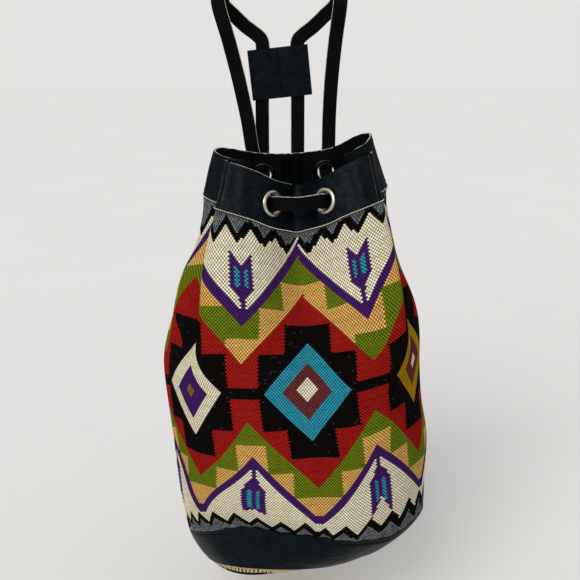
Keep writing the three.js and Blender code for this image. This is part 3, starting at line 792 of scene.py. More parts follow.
# How the cloth hangs: lengths from the band to the row of diamonds, which climbs to the right and a little
# to the left and meets itself at the rear, and how much looser or tighter the rows are beyond it
DIAMOND_V = 156.5
RIGHT_CLIMB = 26.0
RIGHT_CLIMB_SPAN = (25, 110)
LEFT_CLIMB = 7.0
LEFT_CLIMB_SPAN = (40, 130)
REAR_CLIMB = (RIGHT_CLIMB - LEFT_CLIMB) / 2
LOOSE = 0.00125
TIGHT = 0.00049
FOOT_SINK = 12.0
FOOT_SINK_SPAN = (50, 100)
FOOT_SPAN = (100, 157)
# Pulls on the rows: by how much, around which place and how far, and between which heights each sets in.
# Shifts are patches, each around one place and one height.
CLOTH_PULLS = ((15.0, -150, 28, 60, 140), (-10.0, 95, 40, 100, 160), (12.0, -195, 42, -150, -90))
CLOTH_SHIFTS = ((-4.0, 100, 25, 0, 30), (-9.0, 84, 28, 44, 24), (9.0, -REPEAT, 45, -105, 32))
# Leans of the columns: by how much, around which place and how far, and the shares of the body's height
# between which each sets in and dies away
ALWAYS = (-2, -1)
NEVER = (2, 3)
UPPER_HALF = (0.45, 0.62)
COLUMN_LEANS = (
    (9.0, -118, 32, UPPER_HALF, NEVER),
    (-6.0, 116, 30, UPPER_HALF, NEVER),
    (-2.8, -72, 34, UPPER_HALF, NEVER),
    (-3.0, 72, 30, (0.6, 0.8), NEVER),
    (9.0, -190, 40, (0.12, 0.3), (0.55, 0.72)),
    (7.0, 92, 38, (0.28, 0.4), (0.52, 0.66)),
    (-13.0, 200, 45, ALWAYS, (0.35, 0.55)),
)
FOOT_SPREAD = 0.09
FOOT_SPREAD_UPS = (0.05, 0.25)
FOOT_SPREAD_REACH = (120, 200)
# The design is caught up in the front pleats
FOLD_SHIFT = 27.0
FOLD_SPAN = (118, 134)
FOLD_UPS = (0.57, 0.71)
# Unevenness of the cloth, as crossed waves with a run around, a run up and a start, and the pucker of its
# seams: height, pitch, start and reach
SLOW_RISE = 0.9
SLOW_WAVES = ((31, 67, 0.0), (-90, 43, 1.1))
TOP_PUCKER = (0.8, 17, 0.0, 14)
FOOT_PUCKER = (0.7, 21, 0.6, 12)
SIDE_SEAM_SINK = 1.6
SIDE_SEAM_REACH = 3.5
# Points along a column of cloth before it is cut into rows, and rows of its inner side, closer at the top
COLUMN_STEPS = 160
INNER_ROWS = 8
INNER_CROWDING = 1.4


def dyed(name):
    return YARN_NAMES.index(name)


def around_once(s):
    """A measure around the bag, counted from the front middle by the shorter way."""
    return (s + HALF_ROUND) % (2 * HALF_ROUND) - HALF_ROUND


def diamond_row(s):
    """Length of cloth from the band up to the row of diamonds, which climbs towards the bag's right."""
    right = RIGHT_CLIMB * smooth(*RIGHT_CLIMB_SPAN, s) - REAR_CLIMB * smooth(PANEL_HALF, HALF_ROUND, s)
    left = LEFT_CLIMB * smooth(*LEFT_CLIMB_SPAN, -s) + REAR_CLIMB * smooth(PANEL_HALF, HALF_ROUND, -s)
    return DIAMOND_V + right + left - seam_rise(s / HALF_ROUND)


def cloth_height(s, d):
    """Length of cloth above the band at a height of the design: loose at the top, tight at the foot."""
    even = diamond_row(s) + d + np.where(d > 0, LOOSE, TIGHT) * d * d
    foot = (seam_rise(s / HALF_ROUND) - FOOT_SINK * smooth(*FOOT_SINK_SPAN, s)) * smooth(*FOOT_SPAN, -d)
    height = even + foot + patches(s, d, CLOTH_SHIFTS)
    for by, at, reach, start, full in CLOTH_PULLS:
        height = height + by * bell(s, at, reach) * smooth(start, full, d)
    return height


def column_lean(s, own, ups):
    """How far the columns of the cloth lean aside as it hangs, in millimetres around the bag."""
    edge = 1 - smooth(*FOOT_SPREAD_REACH, np.abs(own))
    lean = FOOT_SPREAD * own * (1 - smooth(*FOOT_SPREAD_UPS, ups)) * edge
    for by, at, reach, comes, goes in COLUMN_LEANS:
        lean = lean + by * bell(s, at, reach) * smooth(*comes, ups) * (1 - smooth(*goes, ups))
    return lean


def design_around(s, v, length):
    """Where the design lies around the bag: it is caught up in the pleats at the front."""
    middle = HALF_ROUND * np.round(s / HALF_ROUND)
    own = s - middle
    caught = FOLD_SHIFT * smooth(*FOLD_SPAN, np.abs(own)) * smooth(*FOLD_UPS, v / length)
    return s - np.sign(own) * caught * (middle == 0)


def saw(x, pitch):
    """Teeth along a measure: 0 at each multiple of the pitch, 1 half way between two."""
    return np.abs((x / pitch + 0.5) % 1 - 0.5) * 2


def kilim_yarn(s, d):
    """Which yarn shows at a place of the design."""
    h = np.abs(d)
    upper = d > 0
    repeat = np.round(s / REPEAT)
    a = np.abs(s - REPEAT * repeat)
    b = HALF_REPEAT - a
    fall = CLIMB * a / HALF_REPEAT
    own = s - HALF_ROUND * np.round(s / HALF_ROUND)
    deep = upper & (np.abs(own - HALF_REPEAT) < HALF_REPEAT)
    yarn = np.full(s.shape, dyed("grey"))

    def weave(where, name):
        yarn[where] = dyed(name)

    # Sawtooth borders, wide at the top and narrow at the foot, and the cream ground
    top_tooth = (TOP_TOOTH_H - bumps(own, MIDDLE_LOSS)) * (1 - saw(own, TOP_TOOTH))
    low_height = LOW_TOOTH_H + RIGHT_TOOTH_GAIN * smooth(*RIGHT_TOOTH_SPAN, own)
    low_tooth = low_height * saw(np.abs(own - LOW_TOOTH_MIDDLE) - LOW_TOOTH_START, LOW_TOOTH)
    low_line = LOW_LINE + RIGHT_LINE_GAIN * smooth(*RIGHT_LINE_SPAN, own)
    sawtooth = np.where(upper, TOP_SAW_H + top_tooth, LOW_SAW_H + low_tooth)
    weave(h < sawtooth + np.where(upper, TOP_LINE, low_line), "black")
    weave(h < sawtooth, "cream")
    # Purple zigzag with an arrow in each of its valleys
    zigzag = np.minimum(np.where(deep, DEEP_ZIGZAG_H, ZIGZAG_H) - fall, np.where(upper, ZIGZAG_H, LOW_TIP_H))
    weave(h < zigzag + STRIPE + PIPING, "cream")
    weave((b < ARROW_STEM) & (h < ARROW_STEM_H), "purple")
    shoulder = SHOULDER_H + (b - ARROW_STEM) * SHOULDER_SLOPE
    notch, low_right, low_left = (at + slope * b for at, slope in (NOTCH, LOW_RIGHT_NOTCH, LOW_LEFT_NOTCH))
    notch = np.where(upper, notch, np.where(own > 0, low_right, low_left))
    wide = b < np.where(upper, ARROW_HALF, LOW_ARROW_HALF)
    weave(wide & (h > shoulder) & (h < notch), "purple")
    bars = (b > ARROW_STEM) & (b < ARROW_BAR) & (h > np.where(upper, ARROW_BAR_H, LOW_ARROW_BAR_H))
    weave(bars & (h < notch - np.where(upper, BAR_SHORT, LOW_BAR_SHORT)), "teal")
    weave(h < zigzag + STRIPE, "purple")
    # Stepped band of green and tan, which change places from one repeat to the next above the diamonds
    near, far, beyond = STEP_HEIGHTS
    step = np.where(a < STEP_NEAR, near, np.where(a < STEP_FAR, far, beyond))
    swapped = upper & (np.floor((s + REPEAT - STEP_FAR) / REPEAT) % 2 == 0)
    outer = np.where(swapped, dyed("green"), dyed("tan"))
    inner = np.where(swapped, dyed("tan"), dyed("green"))
    banded = h < zigzag - STRIPE
    yarn[banded] = np.where(h > step, outer, inner)[banded]
    weave(h < np.where(deep, DEEP_RED_H, RED_H) - fall, "red")
    # Black stepped crosses joined by a bar, with a diamond on each
    weave((a < STEP_NEAR) & (h < CROSS_NEAR_H), "black")
    weave((a < STEP_FAR) & (h < CROSS_FAR_H), "black")
    weave(h < BAR_H, "black")
    reach = a + h * HALF_REPEAT / CLIMB
    for turn, (ring, field, heart, half, heart_half) in enumerate(DIAMONDS):
        here = repeat % len(DIAMONDS) == turn
        weave(here & (reach < half), ring)
        weave(here & (reach < FIELD_SHARE * half), field)
        weave(here & (reach < heart_half), heart)
    return yarn


def relief(s, v, length):
    """Soft unevenness of the hung cloth, and the pucker of its seams, in millimetres."""
    rise = SLOW_RISE
    for run_around, run_up, start in SLOW_WAVES:
        rise = rise * np.sin(s / run_around + v / run_up + start)
    for (height, pitch, start, reach), away in ((TOP_PUCKER, length - v), (FOOT_PUCKER, v)):
        rise = rise + height * np.cos(2 * math.pi * s / pitch + start) * np.exp(-away / reach)
    side = np.abs(np.abs((s + PANEL_HALF) % HALF_ROUND - PANEL_HALF) - PANEL_HALF)
    return rise - SIDE_SEAM_SINK * np.exp(-side / SIDE_SEAM_REACH)


def zipped(first, first_at, second, second_at):
    """Triangles between two runs of points of different count."""
    faces = []
    i = 0
    j = 0
    while i < len(first) - 1 or j < len(second) - 1:
        first_next = first_at[i + 1] if i < len(first) - 1 else math.inf
        second_next = second_at[j + 1] if j < len(second) - 1 else math.inf
        if first_next <= second_next:
            faces.append((first[i], second[j], first[i + 1]))
            i += 1
        else:
            faces.append((first[i], second[j], second[j + 1]))
            j += 1
    return faces


def along_columns(where, run, values):
    """Values of each column of the cloth at the given lengths along it."""
    parts = [np.interp(where[i], run[i], values[i, :, c]) for i in range(len(where)) for c in range(3)]
    return np.stack(parts).reshape(len(where), 3, -1).transpose(0, 2, 1)


def dress_cloth(made, laid, tint):
    """Lay a woven piece's points out on the flat cloth, by which its beads are drawn, and dye each face."""
    mesh = made.data
    corners = np.zeros(len(mesh.loops), np.int32)
    mesh.loops.foreach_get("vertex_index", corners)
    sides = np.zeros(len(mesh.polygons), np.int32)
    mesh.polygons.foreach_get("loop_total", sides)
    mesh.uv_layers.new(name="cloth").data.foreach_set("uv", (laid[corners] * MM).ravel())
    dye = np.ones((len(corners), 4))
    dye[:, :3] = np.repeat(tint, sides, axis=0)
    mesh.color_attributes.new("yarn", "FLOAT_COLOR", "CORNER").data.foreach_set("color", dye.ravel())


def float_tints(s, row, start, length, seed):
    """Colour of the float at each place and row: its yarn, with the unevenness of skeins and spinning."""
    shift = np.where(row % 2 == 0, FLOAT / 2, 0)
    float_s = (np.floor((s + shift) / FLOAT) + 0.5) * FLOAT - shift
    float_d = (row + 0.5) * WEFT_ROW
    float_v = cloth_height(around_once(float_s), float_d)
    yarn = kilim_yarn(design_around(float_s, float_v, length), float_d)
    rng = np.random.default_rng(seed)
    skein_at = row * SKEIN_STEPS[0] + yarn * SKEIN_STEPS[1]
    spun_at = (float_s - start) / FLOAT * SPUN_STEPS[0] + row * SPUN_STEPS[1]
    skein = rng.normal(0, SKEIN_SPREAD, SKEINS)[skein_at.astype(int) % SKEINS]
    spun = rng.normal(0, SPUN_SPREAD, SPUN_FLOATS)[spun_at.astype(int) % SPUN_FLOATS]
    heather = np.where(yarn == dyed("grey"), HEATHER, 1.0)
    specks = np.where((yarn == dyed("black")) & (spun > SPECK_FROM), SPECK_GAIN, 0.0)
    return YARN_COLOURS[yarn] * np.clip(1 + skein + spun * heather + specks, *TINT_RANGE)[:, None]


def cloth_faces(s, lines, first, last, outer, inner, in_row):
    """Faces of both skins and of the edges between, and the place and row of weft whose colour each takes.

    Outer and inner number the points of each column, and in_row is the row of weft at an inner point.
    """
    faces = []
    where = []
    for i in range(HALF_FLOATS):
        k = i + 1
        middle = (s[i] + s[k]) / 2
        for j in range(first[i:k + 1].min(), last[i:k + 1].max()):
            corners = list(dict.fromkeys((outer[i, j], outer[k, j], outer[k, j + 1], outer[i, j + 1])))
            if len(corners) > 2:
                faces.append(corners)
                where.append((middle, lines[j] // 2))
        for j in range(INNER_ROWS):
            faces.append((inner[i, j + 1], inner[k, j + 1], inner[k, j], inner[i, j]))
            where.append((middle, in_row[i, j]))
        faces.append((inner[i, 0], inner[k, 0], outer[k, 0], outer[i, 0]))
        faces.append((outer[i, -1], outer[k, -1], inner[k, -1], inner[i, -1]))
        where += [(middle, in_row[i, 0]), (middle, in_row[i, -1])]
    return faces, where


def woven_panel(name, middle_share, node_name, seed):
    """One cut of the kilim: an outer skin with points on each bead and in each gap, and a plain inner skin."""
    s = np.linspace(-PANEL_HALF, PANEL_HALF, HALF_FLOATS + 1) + middle_share * HALF_ROUND
    column_s = s[:, None]
    turned = around_once(column_s)
    ups = np.linspace(0, 1, COLUMN_STEPS + 1)[None, :]
    lean = column_lean(turned, column_s - middle_share * HALF_ROUND, ups)
    curves = body_at(place_at((column_s + lean) / HALF_ROUND), ups)
    normals = grid_normals(curves)
    run = np.zeros(curves.shape[:2])
    run[:, 1:] = np.cumsum(np.linalg.norm(np.diff(curves, axis=1), axis=2), axis=1)
    length = run[:, -1:]

    # Two lines of points to a row of weft; lines past the end of a column share its last point
    lines = np.arange(-2 * LOWEST_ROW, 2 * HIGHEST_ROW + 1)
    line_d = lines * WEFT_ROW / 2
    wanted = cloth_height(turned, line_d[None, :])
    first = np.sum(wanted <= 0, axis=1, keepdims=True) - 1
    last = np.sum(wanted < length, axis=1, keepdims=True)
    v = np.clip(wanted, 0, length)
    d = np.stack([np.interp(v[i], wanted[i], line_d) for i in range(len(s))])
    bead = np.cos(2 * math.pi * column_s / FLOAT) * np.sin(math.pi * d / WEFT_ROW)
    rise = relief(column_s, v, length) + BEAD_RISE * bead
    outer = along_columns(v, run, curves) + along_columns(v, run, normals) * rise[..., None]
    index = np.clip(np.arange(len(lines))[None, :], first, last) + np.arange(len(s))[:, None] * len(lines)
    in_v = (1 - np.linspace(1, 0, INNER_ROWS + 1) ** INNER_CROWDING)[None, :] * length
    in_d = np.stack([np.interp(in_v[i], wanted[i], line_d) for i in range(len(s))])
    inner = along_columns(in_v, run, curves) - WOVEN_T * along_columns(in_v, run, normals)
    in_index = np.arange(in_v.size).reshape(in_v.shape) + v.size

    # Both skins with their upper and lower edges, then the side edges
    faces, where = cloth_faces(s, lines, first, last, index, in_index, np.floor(in_d / WEFT_ROW))
    for i, flip in ((0, False), (len(s) - 1, True)):
        used = slice(int(first[i, 0]), int(last[i, 0]) + 1)
        strip = zipped(index[i, used], v[i, used], in_index[i], in_v[i])
        faces += [tuple(reversed(face)) if flip else face for face in strip]
        where += [(s[i], lines[0] // 2)] * len(strip)

    # Points that no face uses are left out
    points = np.concatenate([outer.reshape(-1, 3), inner.reshape(-1, 3)])
    used = np.zeros(len(points), bool)
    used[[i for face in faces for i in face]] = True
    renumber = np.cumsum(used) - 1
    faces = [tuple(int(renumber[i]) for i in face) for face in faces]
    made = piece(name, points[used], faces, [WOOL], "bag", sharp=75)
    laid = [np.stack(np.broadcast_arrays(column_s, rows), -1).reshape(-1, 2) for rows in (d, in_d)]
    face_s, face_row = np.array(where).T
    dress_cloth(made, np.concatenate(laid)[used], float_tints(face_s, face_row, s[0], length.mean(), seed))
    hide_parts(node_name)


# Collar: how far its leather stands off the seam, its creases, and where it lies flat under the eyelets
COLLAR_PROUD = 1.0
CREASE_DEPTH = 0.72
CREASE_RUN = 5.3
CREASE_WANDER = 23.0
FINE_CREASE_DEPTH = 0.48
FINE_CREASE_RUN = 2.9
FLANGE_EASE = 9.0
PRESS_DEPTH = 14.0
COLLAR_LAP = 0.03
COLLAR_ROWS = 26
COLLAR_STEP = 1.6
PUNCH_TIP = 0.01
PUNCH_HALF = 9.0
# The upper edge is raw but for the pleats, and frayed pale on the front's left slope
PLEAT_AT = 0.295
PLEAT_REACH = 0.05
FRAY = 0.45
FRAY_END = -0.02
# Stitch lines at shares of the collar's height, and beside its two seams
EDGE_STITCH_UP = 0.89
SEAM_STITCH_UP = 0.1
SEAM_ROW_OFFSETS = (-0.009, 0.007)
SEAM_ROW_ENDS = (0.03, 0.97)
SEAM_ROW_POINTS = 30
LINE_STEP = 2.0
# A stitch line is the middle one of three, which lie these shares apart up the collar or around it
NEIGHBOURS = np.array([-1, 0, 1])
LINE_APART = 0.02
SEAM_ROW_APART = 0.004
# Half the gap of a seam, and the eyelets' radii
SEAM_HALF = GAP / 2 / HALF_ROUND
BARREL_R = EYELET_HOLE / 2 + EYELET_WALL
FLANGE_R = BARREL_R + FLANGE_W


def seat_of(share):
    """Middle and axis of an eyelet, in the middle of the leather."""
    place = place_at(share)
    axis = normal_at(collar_at, place, EYELET_UP)
    return collar_at(place, EYELET_UP) - axis * LEATHER_T / 2, axis


SEATS = {
    "front_left": seat_of(-EYELET_SPREAD),
    "front_right": seat_of(EYELET_SPREAD),
    "rear_left": seat_of(-1 + REAR_LEFT),
    "rear_right": seat_of(1 - REAR_RIGHT),
}


def pressed_flat(grid):
    """Leather lies flat under each eyelet's flange."""
    for centre, axis in SEATS.values():
        rise = (grid - centre) @ axis
        reach = np.linalg.norm(grid - centre - rise[..., None] * axis, axis=-1)
        hold = (1 - smooth(FLANGE_R, FLANGE_R + FLANGE_EASE, reach)) * (np.abs(rise) < PRESS_DEPTH)
        grid = grid - ((rise - LEATHER_T / 2) * hold)[..., None] * axis
    return grid


def collar_skin(shares, ups):
    """Outer face of the collar, with the creases that the drawn lace leaves in it."""
    places = place_at(shares)[:, None]
    run = shares[:, None] * HALF_ROUND
    height = ups[None, :]
    on_collar = np.clip(height, 0, 1)
    creases = CREASE_DEPTH * np.sin(run / CREASE_RUN + 1.3 * np.sin(run / CREASE_WANDER))
    creases = creases + FINE_CREASE_DEPTH * np.sin(run / FINE_CREASE_RUN + 2 * height)
    lift = COLLAR_PROUD + creases * np.sin(math.pi * on_collar) ** 0.7
    return pressed_flat(collar_at(places, height) + normal_at(collar_at, places, on_collar) * lift[..., None])


def pierced(made, names):
    """Cut the round hole of each eyelet's barrel through the leather."""
    hole_r = BARREL_R + GAP
    profile = [(PUNCH_TIP, -PUNCH_HALF), (hole_r, -PUNCH_HALF), (hole_r, PUNCH_HALF), (PUNCH_TIP, PUNCH_HALF)]
    for name in names:
        centre, axis = SEATS[name]
        punch = turned_piece("punch_" + name, profile, centre, axis, LEATHER, steps=48)
        hole = made.modifiers.new("hole", "BOOLEAN")
        hole.operation = "DIFFERENCE"
        hole.object = punch
        hole.solver = "EXACT"
        bpy.context.view_layer.objects.active = made
        bpy.ops.object.modifier_apply(modifier=hole.name)
        bpy.data.objects.remove(punch)


def collar_piece(name, first, last, node_name, eyelets):
    """One of the collar's two pieces: dyed outside, matt inside and in the pleats, raw where it is cut."""
    columns = int((last - first) * HALF_ROUND / COLLAR_STEP)
    shares = np.linspace(first, last, columns)
    ups = np.append(np.linspace(-COLLAR_LAP, 1 - FRAY / COLLAR_H, COLLAR_ROWS), 1)
    grid = collar_skin(shares, ups)
    lining = grid - LEATHER_T * grid_normals(grid)
    points = np.concatenate([grid.reshape(-1, 3), lining.reshape(-1, 3)])
    skin, inside, low, top, ends = shell_faces(columns, len(ups), False)
    materials = [LEATHER, LACE, RAW_EDGE]
    waxed, matt, raw = range(len(materials))
    outside = np.full((columns - 1, len(ups) - 1), waxed)
    outside[:, -1] = np.where(shares[1:] < FRAY_END, raw, waxed)
    pleated = np.abs(np.abs(signed(shares[1:])) - PLEAT_AT) < PLEAT_REACH
    rim = np.where(pleated, matt, raw).tolist()
    looks = outside.ravel().tolist() + [matt] * len(inside) + [raw] * len(low) + rim + [raw] * len(ends)
    made = piece(name, points, skin + inside + low + top + ends, materials, "bag", looks)
    pierced(made, eyelets)
    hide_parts(node_name)


def middle_line(grid):
    """The middle one of three lines, with the normals that stitches stand along."""
    return grid[:, 1], grid_normals(grid)[:, 1]


def collar_line(up):
    """A line around the collar at one height."""
    end = 1 - SEAM_HALF
    shares = np.linspace(-end, end, int(2 * end * HALF_ROUND / LINE_STEP))
    return middle_line(collar_skin(shares, up + LINE_APART * NEIGHBOURS))


def collar_seam_line(share):
    """A line up the collar beside one of its seams."""
    ups = np.linspace(*SEAM_ROW_ENDS, SEAM_ROW_POINTS)
    grid = collar_skin(share + SEAM_ROW_APART * NEIGHBOURS, ups)
    return grid[1], grid_normals(grid)[1]


collar_piece("leather_collar_front", -COLLAR_SEAM_SHARE + SEAM_HALF, COLLAR_SEAM_SHARE - SEAM_HALF,
             "collar_front", ("front_left", "front_right"))
collar_piece("leather_collar_back", COLLAR_SEAM_SHARE + SEAM_HALF, 2 - COLLAR_SEAM_SHARE - SEAM_HALF,
             "collar_back", ("rear_left", "rear_right"))
stitches("collar_edge_stitches", [collar_line(EDGE_STITCH_UP), collar_line(SEAM_STITCH_UP)],
         DARK_THREAD, "bag")
stitches("collar_lower_thread", [collar_line(0.0)],
         PALE_THREAD, "bag", pitch=2.6, length=2.6, thick=1.1, lift=0.25)
SEAM_ROWS = [side * (COLLAR_SEAM_SHARE + off) for side in (-1, 1) for off in SEAM_ROW_OFFSETS]
stitches("collar_seam_stitches", [collar_seam_line(share) for share in SEAM_ROWS],
         DARK_THREAD, "bag")

woven_panel("kilim_front", 0, "woven_front_panel", 11)
woven_panel("kilim_back", 1, "woven_back_panel", 12)

# Eyelets and their washers, turned
SEAT = LEATHER_T / 2 + GAP
INSIDE = -(SEAT + WASHER_T)
BARREL_LIP = 0.5
FLANGE_EDGE = 0.2
WASHER_EDGE = 0.3
WASHER_INSET = 1.0


def rolled(low, high, base, height, count=9):
    """Points of a rounded rim from one radius to another."""
    turn = np.linspace(0, math.pi, count)
    middle = (low + high) / 2
    half = (high - low) / 2
    return [(middle + half * math.cos(t), base + height * math.sin(t)) for t in turn]


def set_eyelet(seat_name, centre, axis):
    """A barrel with a rolled flange outside, and the washer that it is set through."""
    hole_r = EYELET_HOLE / 2
    barrel_end = INSIDE - BARREL_LIP
    profile = [(hole_r, barrel_end), (BARREL_R, barrel_end), (BARREL_R, SEAT), (FLANGE_R, SEAT)]
    profile += rolled(hole_r, FLANGE_R, SEAT + FLANGE_EDGE, FLANGE_T)
    eyelet = turned_piece("nickel_eyelet_" + seat_name, profile, centre, axis, NICKEL)
    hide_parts("eyelet_" + seat_name)
    low = BARREL_R + GAP
    high = FLANGE_R - WASHER_INSET
    profile = [(high, -SEAT), (low, -SEAT)]
    profile += reversed(rolled(low, high, -SEAT - WASHER_EDGE, -WASHER_T))
    # The washer sits inside the bag, in nickel darkened as painted shade
    washer = turned_piece("nickel_washer_" + seat_name, profile, centre, axis, SHADED_NICKEL)
    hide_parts("washer_" + seat_name)


for eyelet_seat, (seat_centre, seat_axis) in SEATS.items():
    set_eyelet(eyelet_seat, seat_centre, seat_axis)

# Base band: how far it stands proud, its dents, the groove of its stitches, and where its edge is worn
BAND_COLUMNS = 420
BAND_PROUD = 1.2
BAND_PROUD_UP = 0.3
DENT_DEPTH = 1.1
DENT_RUN = 19.0
DENT_SPREAD = 47.0
FOOT_DENT_DEPTH = 0.5
FOOT_DENT_RUN = 7.5
BAND_GROOVE = 1.1
BAND_GROOVE_REACH = 0.03
BAND_STITCH_UP = 0.9
BAND_UPS = np.concatenate([np.linspace(0, 0.78, 16), np.linspace(0.8, 1, 11)])
WORN_AT = -0.46
WORN_REACH = 0.14
# Bottom: its roll under the band, and the blanket stitch on that, measured back from the hem
BOTTOM_FLOATS = 176
BOTTOM_ROWS = 46
BOTTOM_ROLL = 11.0
ROLL_AT = -0.24
ROLL_REACH = 0.18
ROLL_SPAN = (0.8, 0.97)
HEM_UPS = np.linspace(0.02, 0.24, 6)
WALL_SHARES = np.linspace(0, 1, 7)[1:-1, None]
BLANKET_TICK = 6.0
BLANKET_BAR = 9.0
BLANKET_END = 12.5
BLANKET_PITCH = 3
BLANKET_REACH = 0.13


def band_skin(shares, ups):
    """Outer face of the band, standing a little proud of the cloth, with soft dents."""
    places = place_at(shares)[:, None]
    run = signed(shares)[:, None] * HALF_ROUND
    height = ups[None, :]
    dents = DENT_DEPTH * np.sin(run / DENT_RUN + 2.2 * height) * np.sin(run / DENT_SPREAD + 0.7)
    dents = dents + FOOT_DENT_DEPTH * np.sin(run / FOOT_DENT_RUN + 3 * height) * (1 - height)
    dents = dents * np.sin(math.pi * np.clip(height, 0, 1)) ** 0.8
    groove = BAND_GROOVE * bell(height, BAND_STITCH_UP, BAND_GROOVE_REACH)
    lift = BAND_PROUD * smooth(0, BAND_PROUD_UP, height) + dents - groove
    return band_at(places, height) + normal_at(band_at, places, height) * lift[..., None]


def base_band():
    """The leather strip around the foot, with closer rows of points at its groove."""
    shares = np.linspace(0, 2, BAND_COLUMNS, endpoint=False)
    grid = band_skin(shares, BAND_UPS)
    lining = grid - LEATHER_T * grid_normals(grid, ring=True)
    points = np.concatenate([grid.reshape(-1, 3), lining.reshape(-1, 3)])
    skin, inside, low, top, _ = shell_faces(BAND_COLUMNS, len(BAND_UPS), True)
    worn = (np.abs(signed(shares) - WORN_AT) < WORN_REACH).astype(int).tolist()
    looks = [0] * (len(skin) + len(inside) + len(low)) + worn
    faces = skin + inside + low + top
    made = piece("leather_base_band", points, faces, [LEATHER, RAW_EDGE], "bag", looks)
    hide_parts("base_band")
    line_shares = np.linspace(-1, 1, BAND_COLUMNS + 1)
    line = middle_line(band_skin(line_shares, BAND_STITCH_UP + BAND_GROOVE_REACH * NEIGHBOURS))
    stitches("base_band_stitches", [line], DARK_THREAD, "bag")


def smoothed(grid, times):
    """Ease the corners of each column of a grid, whose ends stay where they are."""
    for _ in range(times):
        grid[:, 1:-1] = 0.25 * grid[:, :-2] + 0.5 * grid[:, 1:-1] + 0.25 * grid[:, 2:]
    return grid


def woven_bottom():
    """Undyed cloth of the bottom: sewn in behind the band, and rolling out under it at the front left."""
    columns = 2 * BOTTOM_FLOATS
    shares = np.linspace(0, 2, columns, endpoint=False)
    places = place_at(shares)[:, None]
    outs = np.linspace(0.02, 1 - LEATHER_T / BOTTOM_HALF_D, BOTTOM_ROWS)
    under = bottom_at(places, outs[None, :])
    roll = BOTTOM_ROLL * bell(signed(shares), ROLL_AT, ROLL_REACH)
    under[..., 2] -= roll[:, None] * smooth(*ROLL_SPAN, outs)[None, :]
    under[..., 2] += BOTTOM_BULGE * ((1 - outs ** 2) - (1 - outs ** 2) ** 2)[None, :]
    hem = band_skin(shares, HEM_UPS) - normal_at(band_at, places, HEM_UPS[None, :]) * (LEATHER_T + GAP)
    wall = under[:, -1:] + (hem[:, :1] - under[:, -1:]) * WALL_SHARES
    grid = smoothed(np.concatenate([under, wall, hem], axis=1), 4)
    lining = grid - WOVEN_T * grid_normals(grid, ring=True)
    points = np.concatenate([grid.reshape(-1, 3), lining.reshape(-1, 3)])
    skin, inside, low, top, _ = shell_faces(columns, grid.shape[1], True)
    faces = skin + inside + low + top
    made = piece("woven_bottom", points, faces, [WOOL], "bag", sharp=60)

    # The cloth laid flat: as far from its middle as it runs, in the direction in which it lies
    run = np.cumsum(np.linalg.norm(np.diff(grid, axis=1, prepend=grid[:, :1]), axis=2), axis=1)
    heading = unit(grid[:, -1, :2] - [BOTTOM_X, BOTTOM_Y])
    flat = (run[..., None] * heading[:, None]).reshape(-1, 2)
    # Black blanket stitch where the cloth rolls out
    from_hem = run[:, BOTTOM_ROWS + len(WALL_SHARES)][:, None] - run
    ticks = (np.arange(columns) % BLANKET_PITCH == 0)[:, None] & (from_hem > BLANKET_TICK)
    shown = (np.abs(signed(shares) - ROLL_AT) < BLANKET_REACH)[:, None]
    sewn = shown & ((from_hem > BLANKET_BAR) | ticks) & (from_hem < BLANKET_END)
    marks = np.concatenate([sewn.reshape(-1), np.zeros(sewn.size, bool)])[np.array(faces)[:, 0]]
    tint = np.where(marks[:, None], YARN_COLOURS[dyed("black")], YARN_COLOURS[dyed("undyed")])
    dress_cloth(made, np.concatenate([flat, flat]), tint)
    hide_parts("base_panel")


base_band()
woven_bottom()

# The lace: from the base seam up through the slider, over a loop, through a rear eyelet, across the
# inside, out through the front eyelets, and the same way back. Each point also gives its width's direction.
ACROSS = np.array([1.0, 0.0, 0.0])
UPRIGHT = np.array([0.0, 0.0, 1.0])
BACK_SHARES = (0.55, 1.45)
BACK_UPS = (0.012, 0.12, 0.25, 0.38, 0.5, 0.6, 0.68, 0.75, 0.81, 0.86)
BACK_BEND_UP = 0.55
LEFT_FOOT_OUT = 11.0
RIGHT_FOOT_OUT = 3.0
LACE_STEPS = 8
# Corners of the lace's section, with eased edges, and its sides that are left undyed
LACE_EASE = 0.5
SECTION_W = LACE_W / 2
SECTION_T = LACE_T / 2
LACE_SECTION = np.array([
    (-SECTION_W + LACE_EASE, -SECTION_T), (SECTION_W - LACE_EASE, -SECTION_T),
    (SECTION_W, -SECTION_T + LACE_EASE), (SECTION_W, SECTION_T - LACE_EASE),
    (SECTION_W - LACE_EASE, SECTION_T), (-SECTION_W + LACE_EASE, SECTION_T),
    (-SECTION_W, SECTION_T - LACE_EASE), (-SECTION_W, -SECTION_T + LACE_EASE),
])
UNDYED_SIDES = (1, 2, 3)


def back_point(x, up):
    """Where the lace lies on the rear gathers at a height, as far aside as x, and its width's direction."""
    low, high = place_at(BACK_SHARES)
    for _ in range(40):
        middle = (low + high) / 2
        if smooth_body_at(middle, up)[0] > x:
            low = middle
        else:
            high = middle
    lift = GATHER * gather_rise(1 - up) + LACE_CLEAR + LACE_T / 2
    along = smooth_body_at(low - 0.01, up) - smooth_body_at(low + 0.01, up)
    width = unit(np.array([along[0], along[1], 0.0]))
    return smooth_body_at(low, up) + normal_at(smooth_body_at, low, up) * lift, width


